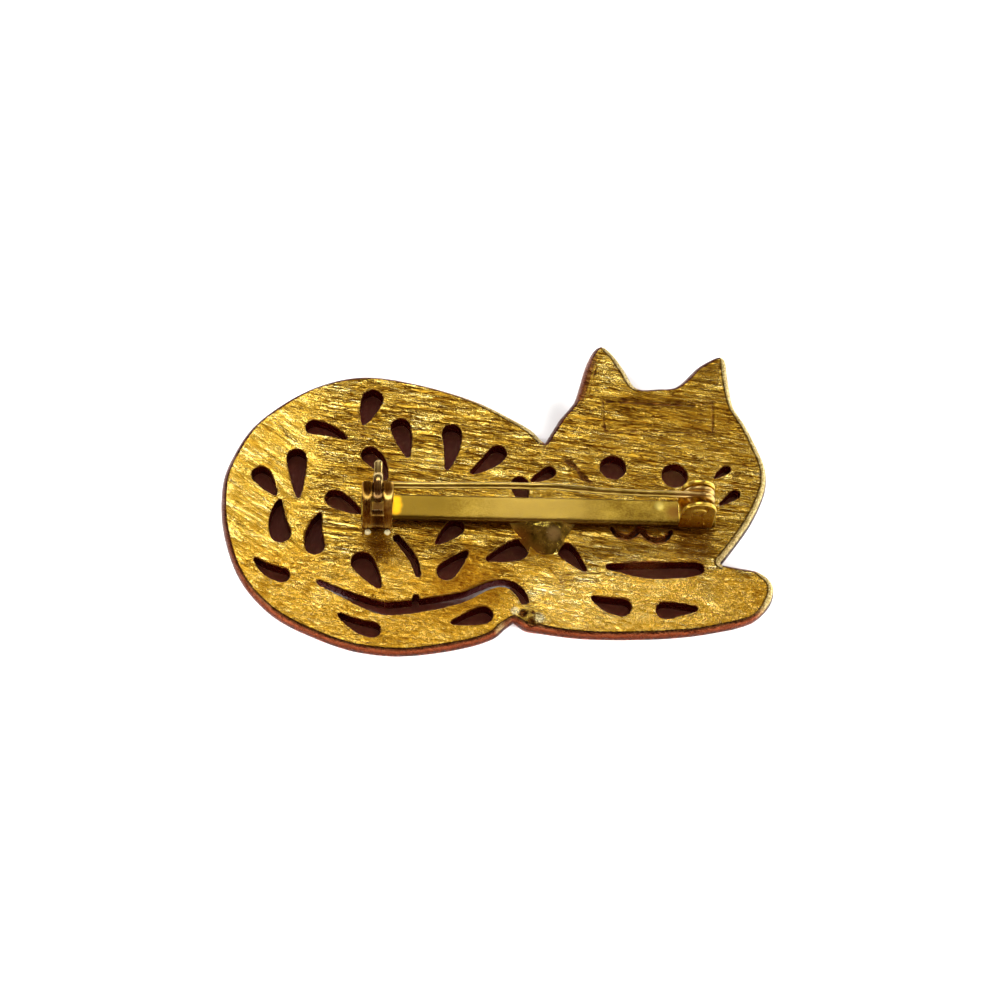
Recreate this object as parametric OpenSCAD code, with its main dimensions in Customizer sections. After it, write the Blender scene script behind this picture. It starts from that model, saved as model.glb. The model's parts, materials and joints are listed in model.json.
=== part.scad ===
// Pierced cast brooch in the form of a lying cat, shown back up, with a soldered bar pin back.
// It lies on its front: z = 0 is the surface under it, and the filed back faces up.
// The origin is on that surface, below the middle of the whole brooch. Millimetres.

/* [Cat] */
// Length of the cat from its back to the tip of its paws
cat_length = 54.7; // [48:0.1:66]
// Height of the cat from its belly to the tips of its ears
cat_height = 35.5; // [31:0.1:43]
// Thickness of the casting
cast_t = 1.5; // [1.2:0.05:2.2]
// How far the rounded rim stands out past the flat back
rim_w = 0.55; // [0.3:0.05:0.7]
// How far the eye holes are across
eye_d = 2.5; // [2:0.1:3]
// Width of the engraved lines round the muzzle
muzzle_slit = 0.27; // [0.2:0.01:0.4]

/* [Bar] */
// Length of the pin back from the catch to the end of the hinge
bar_length = 35; // [32:0.1:38]
// Width of the bar
bar_w = 2.7; // [2.4:0.1:3.2]
// Thickness of the bar
bar_t = 0.65; // [0.5:0.05:0.9]
// Where the middle of the bar sits, as a share of the cat's length
bar_at_x = 0.573; // [0.56:0.001:0.58]
// Where the middle of the bar sits, as a share of the cat's height
bar_at_y = 0.431; // [0.42:0.001:0.44]

/* [Solder] */
// Gap that the solder leaves between the bar and the back of the cat
solder_gap = 0.35; // [0.2:0.05:0.5]
// Length of the mound of solder along the bar
mound_length = 7; // [5:0.1:8]
// How far the mound runs out from the edge of the bar
mound_reach = 3.3; // [2.5:0.1:3.5]

/* [Hinge] */
// Thickness of each hinge ear
ear_t = 0.4; // [0.3:0.05:0.5]
// Distance between the middles of the two ears
ear_pitch = 2.4; // [2.35:0.05:2.8]
// Width of an ear where it leaves the bar
ear_foot = 3.4; // [3:0.1:3.8]
// Radius of an ear's round top
ear_r = 1.65; // [1.55:0.05:1.7]
// Height of the rivet's axis above the face of the bar
rivet_up = 2.53; // [2.4:0.01:2.8]
// Diameter of the rivet
rivet_d = 1.15; // [1:0.05:1.25]
// Diameter of the rivet's heads
rivet_head_d = 1.45; // [1.4:0.05:1.7]

/* [Stem] */
// Diameter of the spring wire
wire_d = 0.66; // [0.5:0.01:0.7]
// How high the stem bows up between the hinge and the catch
stem_bow = 0.75; // [0.4:0.01:1]
// Length of the sharpened tip
tip_length = 0.7; // [0.5:0.1:0.8]

/* [Catch] */
// Height of the catch's axis above the face of the bar
catch_up = 4.3; // [4:0.1:5]
// Outer radius of the two fixed cheeks
cheek_r = 1.6; // [1.5:0.05:1.9]
// Wall of the cheeks
cheek_wall = 0.45; // [0.35:0.05:0.5]
// Length of each cheek along the bar
cheek_w = 0.9; // [0.8:0.05:1.1]
// Length of the gap between the cheeks, where the lever turns
lever_gap = 1.2; // [1:0.05:1.4]
// Wall of the turning barrel
barrel_wall = 0.33; // [0.25:0.01:0.35]
// Reach of the lever from the axis of the catch
lever_reach = 2.75; // [2.4:0.05:3.2]
// Thickness of the lever
lever_t = 0.36; // [0.3:0.02:0.44]
// How far above level the lever points when the catch is open
lever_angle = 12; // [6:1:18]

/* [Clearances] */
// Gap all round a turning piece
turn_gap = 0.07; // [0.05:0.01:0.1]
// Gap between the rivet and the turns of the wire round it
coil_gap = 0.36; // [0.1:0.02:0.4]
// Gap between the rivet and the ears
rivet_gap = 0.05; // [0.04:0.01:0.08]

/* [Hidden] */
$fn = 48;

gold = [0.79, 0.62, 0.22];
bright_gold = [0.86, 0.72, 0.32];

// The outline of the cat, clockwise from the crease behind its ear.
// x and y are shares of the cat's length and height, from the lower left.
// sharp is 1 at a crease and 0 on a smooth stretch.
X = 0;
Y = 1;
SHARP = 2;
outline_knots = [
    // x,     y,     sharp
    [0.588, 0.666, 1],
    [0.619, 0.750, 0],
    [0.646, 0.808, 0],
    [0.666, 0.912, 0],
    [0.684, 0.980, 0],
    [0.700, 1.000, 0],
    [0.715, 0.987, 0],
    [0.732, 0.953, 0],
    [0.749, 0.902, 0],
    [0.762, 0.863, 0],
    [0.777, 0.854, 0],
    [0.806, 0.858, 0],
    [0.836, 0.863, 0],
    [0.858, 0.890, 0],
    [0.883, 0.933, 0],
    [0.911, 0.963, 0],
    [0.929, 0.975, 0],
    [0.940, 0.961, 0],
    [0.942, 0.918, 0],
    [0.945, 0.850, 0],
    [0.950, 0.799, 0],
    [0.969, 0.742, 0],
    [0.988, 0.666, 0],
    [1.000, 0.601, 0],
    [0.998, 0.536, 0],
    [0.982, 0.471, 0],
    [0.959, 0.406, 0],
    [0.928, 0.339, 0],
    [0.904, 0.291, 1],
    [0.935, 0.282, 0],
    [0.968, 0.273, 0],
    [0.990, 0.248, 0],
    [0.997, 0.214, 0],
    [0.986, 0.165, 0],
    [0.953, 0.117, 0],
    [0.894, 0.089, 0],
    [0.822, 0.070, 0],
    [0.741, 0.061, 0],
    [0.644, 0.061, 0],
    [0.573, 0.074, 0],
    [0.545, 0.081, 0],
    [0.526, 0.104, 1],
    [0.510, 0.084, 0],
    [0.492, 0.058, 0],
    [0.450, 0.032, 0],
    [0.380, 0.009, 0],
    [0.313, 0.000, 0],
    [0.240, 0.014, 0],
    [0.170, 0.053, 0],
    [0.107, 0.104, 0],
    [0.058, 0.177, 0],
    [0.029, 0.251, 0],
    [0.009, 0.342, 0],
    [0.000, 0.420, 0],
    [0.000, 0.524, 0],
    [0.016, 0.605, 0],
    [0.045, 0.691, 0],
    [0.091, 0.763, 0],
    [0.151, 0.827, 0],
    [0.215, 0.864, 0],
    [0.271, 0.872, 0],
    [0.337, 0.857, 0],
    [0.403, 0.831, 0],
    [0.469, 0.794, 0],
    [0.525, 0.747, 0],
    [0.564, 0.708, 0],
];
outline_steps = 2;

// The pierced drops: a round head that narrows along a curve to a tip.
// Places are shares as above, and width and bend are shares of the cat's length.
HEAD_X = 0;
HEAD_Y = 1;
TIP_X = 2;
TIP_Y = 3;
WIDTH = 4;
BEND = 5;
drops = [
    // head x, head y, tip x, tip y, width, bend
    [0.267, 0.792, 0.251, 0.705, 0.037, 0],
    [0.160, 0.693, 0.222, 0.657, 0.028, 0.004],
    [0.320, 0.699, 0.335, 0.603, 0.035, 0],
    [0.415, 0.686, 0.406, 0.565, 0.033, 0.004],
    [0.500, 0.621, 0.450, 0.556, 0.032, 0.003],
    [0.068, 0.535, 0.097, 0.473, 0.032, 0],
    [0.131, 0.593, 0.138, 0.464, 0.032, 0],
    [0.109, 0.353, 0.105, 0.458, 0.035, 0.005],
    [0.171, 0.317, 0.178, 0.417, 0.033, 0.005],
    [0.204, 0.465, 0.254, 0.420, 0.034, 0],
    [0.266, 0.606, 0.295, 0.526, 0.033, 0.005],
    [0.115, 0.225, 0.065, 0.274, 0.026, 0.005],
    [0.256, 0.270, 0.289, 0.194, 0.038, 0],
    [0.277, 0.067, 0.217, 0.112, 0.027, 0.004],
    [0.406, 0.246, 0.444, 0.309, 0.032, 0],
    [0.422, 0.382, 0.388, 0.331, 0.031, 0],
    [0.473, 0.117, 0.415, 0.092, 0.030, 0],
    [0.535, 0.318, 0.478, 0.285, 0.038, 0],
    [0.540, 0.523, 0.547, 0.456, 0.031, 0],
    [0.595, 0.564, 0.561, 0.535, 0.022, 0],
    [0.622, 0.317, 0.656, 0.256, 0.029, 0],
    [0.719, 0.148, 0.665, 0.178, 0.032, 0.004],
    [0.795, 0.141, 0.854, 0.148, 0.030, 0],
    [0.925, 0.587, 0.900, 0.557, 0.013, 0],
    [0.938, 0.507, 0.907, 0.472, 0.015, 0],
];
drop_steps = 6;

// The middles of the two eyes
eyes = [
    [0.713, 0.584],
    [0.827, 0.563],
];

// The long slits, each along its middle line. Width is a share of the cat's length.
SLIT_W = 2;
thigh_slit = [
    // x,     y,     width
    [0.313, 0.352, 0.010],
    [0.335, 0.311, 0.012],
    [0.349, 0.273, 0.011],
    [0.357, 0.229, 0.007],
];
tail_slit = [
    [0.178, 0.208, 0.005],
    [0.228, 0.171, 0.012],
    [0.282, 0.136, 0.020],
    [0.318, 0.132, 0.022],
    [0.387, 0.150, 0.021],
    [0.440, 0.172, 0.015],
    [0.475, 0.201, 0.012],
    [0.502, 0.214, 0.011],
    [0.524, 0.206, 0.013],
    [0.539, 0.183, 0.014],
    [0.547, 0.154, 0.012],
];
tail_notch = [
    [0.352, 0.150, 0.013],
    [0.353, 0.172, 0.007],
];
chest_slit = [
    [0.694, 0.270, 0.007],
    [0.722, 0.267, 0.016],
    [0.772, 0.261, 0.029],
    [0.826, 0.265, 0.028],
    [0.857, 0.270, 0.023],
    [0.869, 0.271, 0.012],
];
slit_steps = 3;

// The two lines that part the muzzle, as arcs: middle x, middle y, radius, first and last angle
ARC_X = 0;
ARC_Y = 1;
ARC_R = 2;
ARC_FROM = 3;
ARC_TO = 4;
muzzle_arcs = [
    [0.731, 0.402, 0.026, 190, 350],
    [0.788, 0.396, 0.028, 190, 350],
];
arc_steps = 8;

// The section of the rounded rim, from the flat core round the outside and back to it:
// height as a share of the casting's thickness, and how far in, as a share of the rim's width.
UP = 0;
IN = 1;
rim_profile = [
    // up,  in
    [0.00, 1.35],
    [0.00, 0.90],
    [0.08, 0.40],
    [0.26, 0.07],
    [0.42, 0.00],
    [0.64, 0.14],
    [0.84, 0.48],
    [1.00, 1.00],
    [1.00, 1.35],
];

// The flat core's edge lies inside the band
core_edge = 1.15;
band_w = rim_profile[0][IN] * rim_w;

// The bow of the stem: how far along it lies from the hinge, and its share of the bow
ALONG = 0;
BOW = 1;
stem_bends = [
    // along, bow
    [0.20, 0.00],
    [0.32, 0.16],
    [0.40, 0.56],
    [0.49, 1.00],
    [0.58, 0.86],
];

// Heights and places that follow from the sizes above
back_z = cast_t;
face_z = back_z + solder_gap + bar_t;
bar_x = (bar_at_x - 0.5) * cat_length;
bar_y = (bar_at_y - 0.5) * cat_height;
bar_left = bar_x - bar_length / 2;
bar_right = bar_x + bar_length / 2;
bar_low = bar_y - bar_w / 2;
bar_high = bar_y + bar_w / 2;

// Where pieces join they overlap by this much, and cuts run past the faces by the margin
overlap = 0.1;
cut_margin = 1;

// The hinge: its ears stand just short of the bar's end, and the wire's two turns lie
// between them, a little nearer the cat's belly
ear_from_end = 0.3;
hinge_x = bar_right - ear_from_end - ear_foot / 2;
rivet_z = face_z + rivet_up;
rivet_r = rivet_d / 2;
wire_r = wire_d / 2;
coil_r = rivet_r + coil_gap + wire_r;
coil_pitch = 0.94 * wire_d;
stem_y = bar_y - 0.17 * wire_d;

// The catch: its axis lies a little below and behind the stem, which drops into it
stem_aside = 0.25;
stem_above = 0.1;
catch_from_end = 0.1;
catch_w = 2 * cheek_w + lever_gap;
catch_left = bar_left + catch_from_end;
catch_mid = catch_left + catch_w / 2;
catch_right = catch_left + catch_w;
catch_y = stem_y - stem_aside;
catch_z = face_z + catch_up;
barrel_r = cheek_r - cheek_wall - turn_gap;
bore_r = barrel_r - barrel_wall;
collar_step = 0.12;
collar_r = cheek_r - collar_step;
collar_w = lever_gap - 2 * turn_gap;
lever_w = collar_w - collar_step;
leg_splay = 0.3;
foot_y = catch_y - cheek_r - leg_splay;

function sized(p) = [p[X] * cat_length, p[Y] * cat_height];

// A smooth closed curve through knots: each knot's direction comes from its two neighbours,
// and a sharp knot has none, so that a crease stays a crease.
function wrap(list, i) = list[(i + len(list)) % len(list)];
function chord(list, i) = norm(sized(wrap(list, i + 1)) - sized(wrap(list, i)));
function heading(list, i) =
    (sized(wrap(list, i + 1)) - sized(wrap(list, i - 1))) / (chord(list, i - 1) + chord(list, i));
function straight(list, i) = (sized(wrap(list, i + 1)) - sized(wrap(list, i))) / chord(list, i);
function leave(list, i) = wrap(list, i)[SHARP] == 1 ? straight(list, i) : heading(list, i);
function arrive(list, i) =
    wrap(list, i + 1)[SHARP] == 1 ? straight(list, i) : heading(list, i + 1);
function between(a, b, from, to, t) =
    (2 * t^3 - 3 * t^2 + 1) * a + (t^3 - 2 * t^2 + t) * from
    + (3 * t^2 - 2 * t^3) * b + (t^3 - t^2) * to;
function smooth_ring(list, steps) = [
    for (i = [0 : len(list) - 1], s = [0 : steps - 1])
        between(
            sized(list[i]),
            sized(wrap(list, i + 1)),
            leave(list, i) * chord(list, i),
            arrive(list, i) * chord(list, i),
            s / steps
        )
];

// The smooth outline bulges a little past its knots, so it is set to the cat's size and
// middle, and everything that is placed by shares goes with it.
loose_ring = smooth_ring(outline_knots, outline_steps);
low = [min([for (p = loose_ring) p[X]]), min([for (p = loose_ring) p[Y]])];
high = [max([for (p = loose_ring) p[X]]), max([for (p = loose_ring) p[Y]])];
fit = [cat_length / (high[X] - low[X]), cat_height / (high[Y] - low[Y])];
function settle(p) = [
    (p[X] - (low[X] + high[X]) / 2) * fit[X],
    (p[Y] - (low[Y] + high[Y]) / 2) * fit[Y]
];
function share(p) = settle(sized(p));

// An open curve through rows of numbers, by the same rule
function row(list, i) = list[max(0, min(len(list) - 1, i))];
function smooth_rows(list, steps) = [
    for (i = [0 : len(list) - 2], s = [0 : steps - 1])
        between(
            list[i],
            list[i + 1],
            (row(list, i + 1) - row(list, i - 1)) / 2,
            (row(list, i + 2) - row(list, i)) / 2,
            s / steps
        ),
    list[len(list) - 1]
];

// Points of the outline drawn in by a distance, square to the curve. Where the curve turns
// tightly outwards, as at the tips of the ears, it is drawn in less.
ring = [for (p = loose_ring) settle(p)];
ring_last = len(ring) - 1;
function turned(v) = [-v[Y], v[X]] / norm(v);
function cross_z(a, b) = a[X] * b[Y] - a[Y] * b[X];
function before(i) = ring[i] - wrap(ring, i - 1);
function after(i) = wrap(ring, i + 1) - ring[i];
function outward(i) =
    let (n = turned(before(i)) + turned(after(i)))
        n / norm(n);
function mitre(i) = max(sharpest, outward(i) * turned(after(i)));
function tightness(i) =
    let (span = norm(wrap(ring, i + 1) - wrap(ring, i - 1)))
        -2 * cross_z(before(i), after(i)) / (norm(before(i)) * norm(after(i)) * span);
tip_room = 0.7;
room_step = 0.2;
limit_share = 0.8;
sharpest = 0.75;
function room(i) = tip_room / max(tightness(i), tip_room / cat_height);
rooms = [for (i = [0 : ring_last]) room(i)];
clear = [
    for (i = [0 : ring_last])
        min(rooms[i], wrap(rooms, i - 1) + room_step, wrap(rooms, i + 1) + room_step)
];
function limit(i, d) = clear[i] * (limit_share + (1 - limit_share) * d / band_w);
function drawn_in(i, d) = ring[i] - min(d / mitre(i), limit(i, d)) * outward(i);

// The rounded rim: a closed band round the outline, on a flat core
module cast_cat() {
    rows = len(rim_profile);
    count = len(ring);
    polyhedron(
        points = [
            for (i = [0 : ring_last], p = rim_profile)
                let (spot = drawn_in(i, p[IN] * rim_w))
                    [spot[X], spot[Y], p[UP] * cast_t]
        ],
        faces = [
            for (i = [0 : ring_last], k = [0 : rows - 1])
                let (
                    a = i * rows + k,
                    b = ((i + 1) % count) * rows + k,
                    c = ((i + 1) % count) * rows + (k + 1) % rows,
                    d = i * rows + (k + 1) % rows
                )
                    each [[a, b, c], [a, c, d]]
        ]
    );
    linear_extrude(cast_t)
        polygon([for (i = [0 : ring_last]) drawn_in(i, core_edge * rim_w)]);
}

module through_cut() {
    translate([0, 0, -cut_margin])
        linear_extrude(back_z + 2 * cut_margin)
            children();
}

// One pierced drop, drawn from its head to its tip
module drop_hole(d) {
    head = share([d[HEAD_X], d[HEAD_Y]]);
    tip = share([d[TIP_X], d[TIP_Y]]);
    half = d[WIDTH] * cat_length / 2;
    run = norm(tip - head);
    along = (tip - head) / run;
    aside = [-along[Y], along[X]];
    bow = d[BEND] * cat_length;
    through_cut()
        polygon([
            for (i = [0 : drop_steps])
                let (a = 90 + 180 * i / drop_steps)
                    head + half * (cos(a) * along + sin(a) * aside),
            for (i = [1 : drop_steps])
                let (t = i / drop_steps)
                    head + t * run * along + (4 * bow * t * (1 - t) - half * taper(t)) * aside,
            for (i = [drop_steps : -1 : 1])
                let (t = i / drop_steps)
                    head + t * run * along + (4 * bow * t * (1 - t) + half * taper(t)) * aside,
        ]);
}

// Half the width of a drop, from 1 at its head to a blunt tip
tip_share = 0.12;
function taper(t) = tip_share + (1 - tip_share) * (1 - t^1.6);

// A slit along a middle line, as wide as its rows say
module slit(rows) {
    mid = smooth_rows(rows, slit_steps);
    last = len(mid) - 1;
    function here(i) = share(mid[i]);
    function side(i) =
        let (d = here(min(last, i + 1)) - here(max(0, i - 1)))
            [-d[Y], d[X]] / norm(d);
    function half(i) = mid[i][SLIT_W] * cat_length / 2;
    through_cut()
        polygon([
            for (i = [0 : last]) here(i) + half(i) * side(i),
            for (i = [last : -1 : 0]) here(i) - half(i) * side(i),
        ]);
}

module muzzle_line(a) {
    middle = share([a[ARC_X], a[ARC_Y]]);
    radius = a[ARC_R] * cat_length;
    function spot(i, r) =
        let (angle = a[ARC_FROM] + (a[ARC_TO] - a[ARC_FROM]) * i / arc_steps)
            middle + r * [cos(angle), sin(angle)];
    through_cut()
        polygon([
            for (i = [0 : arc_steps]) spot(i, radius + muzzle_slit / 2),
            for (i = [arc_steps : -1 : 0]) spot(i, radius - muzzle_slit / 2),
        ]);
}

module piercings() {
    for (d = drops) drop_hole(d);
    for (e = eyes)
        translate([share(e)[X], share(e)[Y], -cut_margin])
            cylinder(d = eye_d, h = back_z + 2 * cut_margin);
    slit(thigh_slit);
    slit(tail_slit);
    slit(tail_notch);
    slit(chest_slit);
    for (a = muzzle_arcs) muzzle_line(a);
}

// The mound of solder that holds the bar, long along the bar and narrow where it runs out
mound_aside = 0.4;
solder_sink = 0.1;
module solder_mound() {
    base_z = back_z - solder_sink;
    crest = face_z - bar_t / 4;
    foot_r = 0.65;
    crest_r = 0.35;
    nose_w = 1.8;
    nose_h = 0.35;
    nose_r = 0.2;
    translate([bar_x + mound_aside, bar_low, base_z])
        hull()
            for (s = [-1, 1]) {
                translate([s * (mound_length / 2 - foot_r), foot_r / 2, 0])
                    cylinder(r1 = foot_r, r2 = crest_r, h = crest - base_z, $fn = 16);
                translate([s * nose_w / 2, foot_r - mound_reach, 0])
                    cylinder(r1 = foot_r, r2 = nose_r, h = nose_h, $fn = 16);
            }
}

// Solder under the two ends of the bar, out of sight
module solder_pad(x0, x1) {
    inset = 0.5;
    translate([x0, bar_low + inset, back_z - solder_sink])
        cube([x1 - x0, bar_w - 2 * inset, solder_sink + solder_gap + overlap]);
}

// The bar: a strip with its four long edges eased
module bar_strip() {
    ease = 0.12;
    half = bar_w / 2;
    translate([bar_left, bar_y, face_z - bar_t])
        rotate([90, 0, 90])
            linear_extrude(bar_length)
                polygon([
                    [-half + ease, 0],
                    [half - ease, 0],
                    [half, ease],
                    [half, bar_t - ease],
                    [half - ease, bar_t],
                    [-half + ease, bar_t],
                    [-half, bar_t - ease],
                    [-half, ease],
                ]);
}

// One ear: it rises straight from the bar, then narrows to its round top
module hinge_ear(y) {
    foot = ear_foot / 2;
    rise = 0.3;
    neck = 0.97 * ear_r;
    translate([hinge_x, y + ear_t / 2, face_z])
        rotate([90, 0, 0])
            linear_extrude(ear_t)
                union() {
                    translate([0, rivet_up]) circle(r = ear_r);
                    polygon([
                        [-foot, -bar_t / 2],
                        [foot, -bar_t / 2],
                        [foot, rise],
                        [neck, rivet_up - overlap],
                        [-neck, rivet_up - overlap],
                        [-foot, rise],
                    ]);
                }
}

module hinge_ears() {
    difference() {
        union() {
            for (s = [-1, 1]) hinge_ear(bar_y + s * ear_pitch / 2);
            translate([hinge_x - ear_foot / 2, bar_y - ear_pitch / 2 - ear_t / 2, face_z - bar_t])
                cube([ear_foot, ear_pitch + ear_t, bar_t]);
        }
        translate([hinge_x, bar_y, rivet_z])
            rotate([90, 0, 0])
                cylinder(r = rivet_r + rivet_gap, h = ear_pitch + 4 * ear_t, center = true);
    }
}

// One fixed cheek of the catch: a hook on a leg, open on the side where the stem drops in
module catch_cheek(x) {
    leg_low = -catch_up - bar_t / 2;
    leg_top_w = 0.6;
    leg_foot_w = 0.55;
    foot = foot_y - catch_y;
    inner = cheek_r - cheek_wall;
    translate([x, catch_y, catch_z])
        rotate([90, 0, 90])
            linear_extrude(cheek_w)
                difference() {
                    union() {
                        circle(r = cheek_r);
                        polygon([
                            [-cheek_r, 0],
                            [-inner, -leg_top_w],
                            [foot + leg_foot_w, leg_low],
                            [foot, leg_low],
                        ]);
                    }
                    circle(r = inner);
                    open_side(mouth_room, hook_end);
                }
}

// The open side of the catch, from the near side of the stem's way in round to a level
// below the axis
mouth_room = 0.14;
slot_room = 0.09;
hook_end = 1.0;
trough_end = 0.6;
module open_side(side_room, low) {
    near = stem_aside - wire_r - side_room;
    translate([near, -low])
        square([cheek_r + cut_margin - near, cheek_r + low + cut_margin]);
}

module catch_base() {
    translate([catch_left, foot_y, face_z - bar_t])
        cube([catch_w, bar_high - foot_y, bar_t]);
}

// The stop between the legs: an upright tab with a rolled top
module catch_stop() {
    stop_w = lever_gap - 2 * overlap;
    stop_t = 0.5;
    stop_top = 2.1;
    roll_r = 0.36;
    translate([catch_mid - stop_w / 2, foot_y, face_z - bar_t / 2])
        cube([stop_w, stop_t, stop_top + bar_t / 2]);
    translate([catch_mid - stop_w / 2, foot_y + stop_t / 2, face_z + stop_top])
        rotate([0, 90, 0])
            cylinder(r = roll_r, h = stop_w);
}

module cat_body() {
    color(gold)
        union() {
            difference() {
                union() {
                    cast_cat();
                    solder_mound();
                }
                piercings();
            }
            solder_pad(hinge_x - ear_foot / 2, hinge_x + ear_foot / 2);
            solder_pad(catch_left + overlap, catch_right - overlap);
            bar_strip();
            hinge_ears();
            catch_base();
            catch_cheek(catch_left);
            catch_cheek(catch_right - cheek_w);
            catch_stop();
        }
}

// The route of the stem, from the top of its turns to the tip, which ends just short of
// the barrel's collar
stem_end = catch_mid + collar_w / 2 + turn_gap;
stem_to = stem_end + tip_length;
stem_from_z = rivet_z + coil_r;
stem_to_z = catch_z + stem_above;
function stem_spot(along, bow) = [
    hinge_x + along * (stem_to - hinge_x),
    stem_y,
    stem_from_z + along * (stem_to_z - stem_from_z) + bow * stem_bow
];
stem_route = [
    stem_spot(0, 0),
    for (b = stem_bends) stem_spot(b[ALONG], b[BOW]),
    stem_spot(1, 0),
    [stem_end, stem_y, stem_to_z]
];

// The wire from its turns to the sharpened tip, as rings of points along the route
wire_sides = 12;
point_r = 0.07;
module stem_wire() {
    path = stem_route;
    last = len(path) - 1;
    function radius(i) = i == last ? point_r : wire_r;
    function across(i) =
        let (d = path[min(last, i + 1)] - path[max(0, i - 1)])
            [-d[2], 0, d[0]] / norm(d);
    polyhedron(
        points = [
            for (i = [0 : last], k = [0 : wire_sides - 1])
                let (a = 360 * k / wire_sides)
                    path[i] + radius(i) * (cos(a) * across(i) + sin(a) * [0, 1, 0])
        ],
        faces = concat(
            [
                for (i = [0 : last - 1], k = [0 : wire_sides - 1])
                    let (
                        a = i * wire_sides + k,
                        b = i * wire_sides + (k + 1) % wire_sides
                    )
                        each [[a, b, b + wire_sides], [a, b + wire_sides, a + wire_sides]]
            ],
            [[for (k = [wire_sides - 1 : -1 : 0]) k]],
            [[for (k = [0 : wire_sides - 1]) last * wire_sides + k]]
        )
    );
}

module pin_stem() {
    color(bright_gold)
        union() {
            translate([hinge_x, stem_y, rivet_z])
                rotate([90, 0, 0])
                    rotate_extrude()
                        union() {
                            for (turn = [0, 1])
                                translate([coil_r, -turn * coil_pitch])
                                    circle(r = wire_r);
                        }
            stem_wire();
        }
}

module hinge_rivet() {
    span = ear_pitch + ear_t;
    head_t = 0.12;
    color(bright_gold)
        translate([hinge_x, bar_y, rivet_z])
            rotate([90, 0, 0])
                union() {
                    cylinder(r = rivet_r, h = span + 2 * rivet_gap + head_t, center = true);
                    for (s = [-1, 1])
                        translate([0, 0, s * (span / 2 + rivet_gap + head_t / 2)])
                            cylinder(d = rivet_head_d, h = head_t, center = true);
                }
}

// The turning barrel: an open trough through both cheeks, with a whole collar and the
// lever between them. The stem's tip ends short of the collar.
module catch_barrel() {
    end_gap = 0.1;
    color(bright_gold)
        translate([0, catch_y, catch_z])
            difference() {
                union() {
                    translate([catch_left + end_gap, 0, 0])
                        rotate([0, 90, 0])
                            cylinder(r = barrel_r, h = catch_w - 2 * end_gap);
                    translate([catch_mid - collar_w / 2, 0, 0])
                        rotate([0, 90, 0])
                            cylinder(r = collar_r, h = collar_w);
                    lever();
                }
                translate([catch_left - cut_margin, 0, 0])
                    rotate([0, 90, 0])
                        cylinder(r = bore_r, h = catch_w + 2 * cut_margin);
                for (x = [catch_left - cut_margin, catch_mid + collar_w / 2])
                    translate([x, 0, 0])
                        rotate([90, 0, 90])
                            linear_extrude((catch_w - collar_w) / 2 + cut_margin)
                                open_side(slot_room, trough_end);
            }
}

module lever() {
    round_r = lever_w / 2;
    rotate([lever_angle, 0, 0])
        translate([catch_mid, 0, -lever_t / 2])
            linear_extrude(lever_t)
                union() {
                    translate([-round_r, bore_r])
                        square([lever_w, lever_reach - bore_r - round_r]);
                    translate([0, lever_reach - round_r])
                        circle(r = round_r);
                }
}

cat_body();
pin_stem();
hinge_rivet();
catch_barrel();
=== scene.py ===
import json
import math

import bmesh
import bpy
import numpy as np
from mathutils import Matrix, Vector, geometry, noise


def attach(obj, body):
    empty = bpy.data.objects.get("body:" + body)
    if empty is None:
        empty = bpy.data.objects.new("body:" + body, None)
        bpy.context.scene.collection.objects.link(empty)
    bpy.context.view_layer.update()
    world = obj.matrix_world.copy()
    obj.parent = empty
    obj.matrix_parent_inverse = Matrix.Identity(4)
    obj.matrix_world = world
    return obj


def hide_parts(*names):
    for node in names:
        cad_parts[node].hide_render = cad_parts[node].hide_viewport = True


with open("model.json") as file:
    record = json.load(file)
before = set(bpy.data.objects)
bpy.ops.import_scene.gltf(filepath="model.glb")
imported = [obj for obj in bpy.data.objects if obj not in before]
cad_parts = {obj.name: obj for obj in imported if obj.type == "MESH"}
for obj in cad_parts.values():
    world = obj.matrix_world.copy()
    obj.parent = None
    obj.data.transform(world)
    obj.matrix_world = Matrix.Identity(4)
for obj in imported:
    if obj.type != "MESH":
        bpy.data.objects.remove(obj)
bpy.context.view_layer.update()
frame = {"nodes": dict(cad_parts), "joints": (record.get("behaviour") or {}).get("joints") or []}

# Lengths below are millimetres. Meshes are turned into metres when they are made.
MM = 0.001

# The camera, as close to the brooch as the photograph was taken, and tilted towards the belly
CAMERA_AT = (-11.47, -90.11, 168.0)
LOOKS_AT = (-0.073, -1.314, 1.5)
FOCAL_PX = 1904
IMAGE_PX = 1000
SENSOR_W = 36.0
LOOKS_AT_PX = (497.25, 502.25)
ROLL_DEG = 1.3

# The casting: its thickness, its rim and where that is widest, and the steps of its points
CAST_T = 1.5
RIM_W = 0.55
WIDEST_UP = 0.42
HOLE_EDGE = 0.13
FILED_DOWN = 0.03
OUTLINE_STEP = 0.2
HOLE_STEP = 0.14
LINE_STEP = 0.12
BACK_STEP = 0.2
FRONT_STEP = 0.9
SLIGHT = 1e-3

# The pin back's bar, with its face at the height FACE_Z, and how far the hinge is from its end
BAR_L = 35.0
BAR_W = 2.7
BAR_T = 0.65
BAR_EASED = 0.3
FACE_Z = 2.5
HINGE_FROM_END = 2.0

# The stem and the hinge. The stem runs STEM_ASIDE of its own thickness off the bar's middle.
WIRE_R = 0.33
STEM_ASIDE = 0.17
STEM_BOW = 0.75
TIP_L = 0.7
COIL_TURNS = 1.5
COIL_PITCH = 2 * WIRE_R + 0.04
COIL_GAP = 0.36
RIVET_R = 0.575
RIVET_SIDES = 32
EAR_T = 0.4
EAR_PITCH = 2.4
EAR_FOOT = 3.4
EAR_R = 1.65

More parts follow.
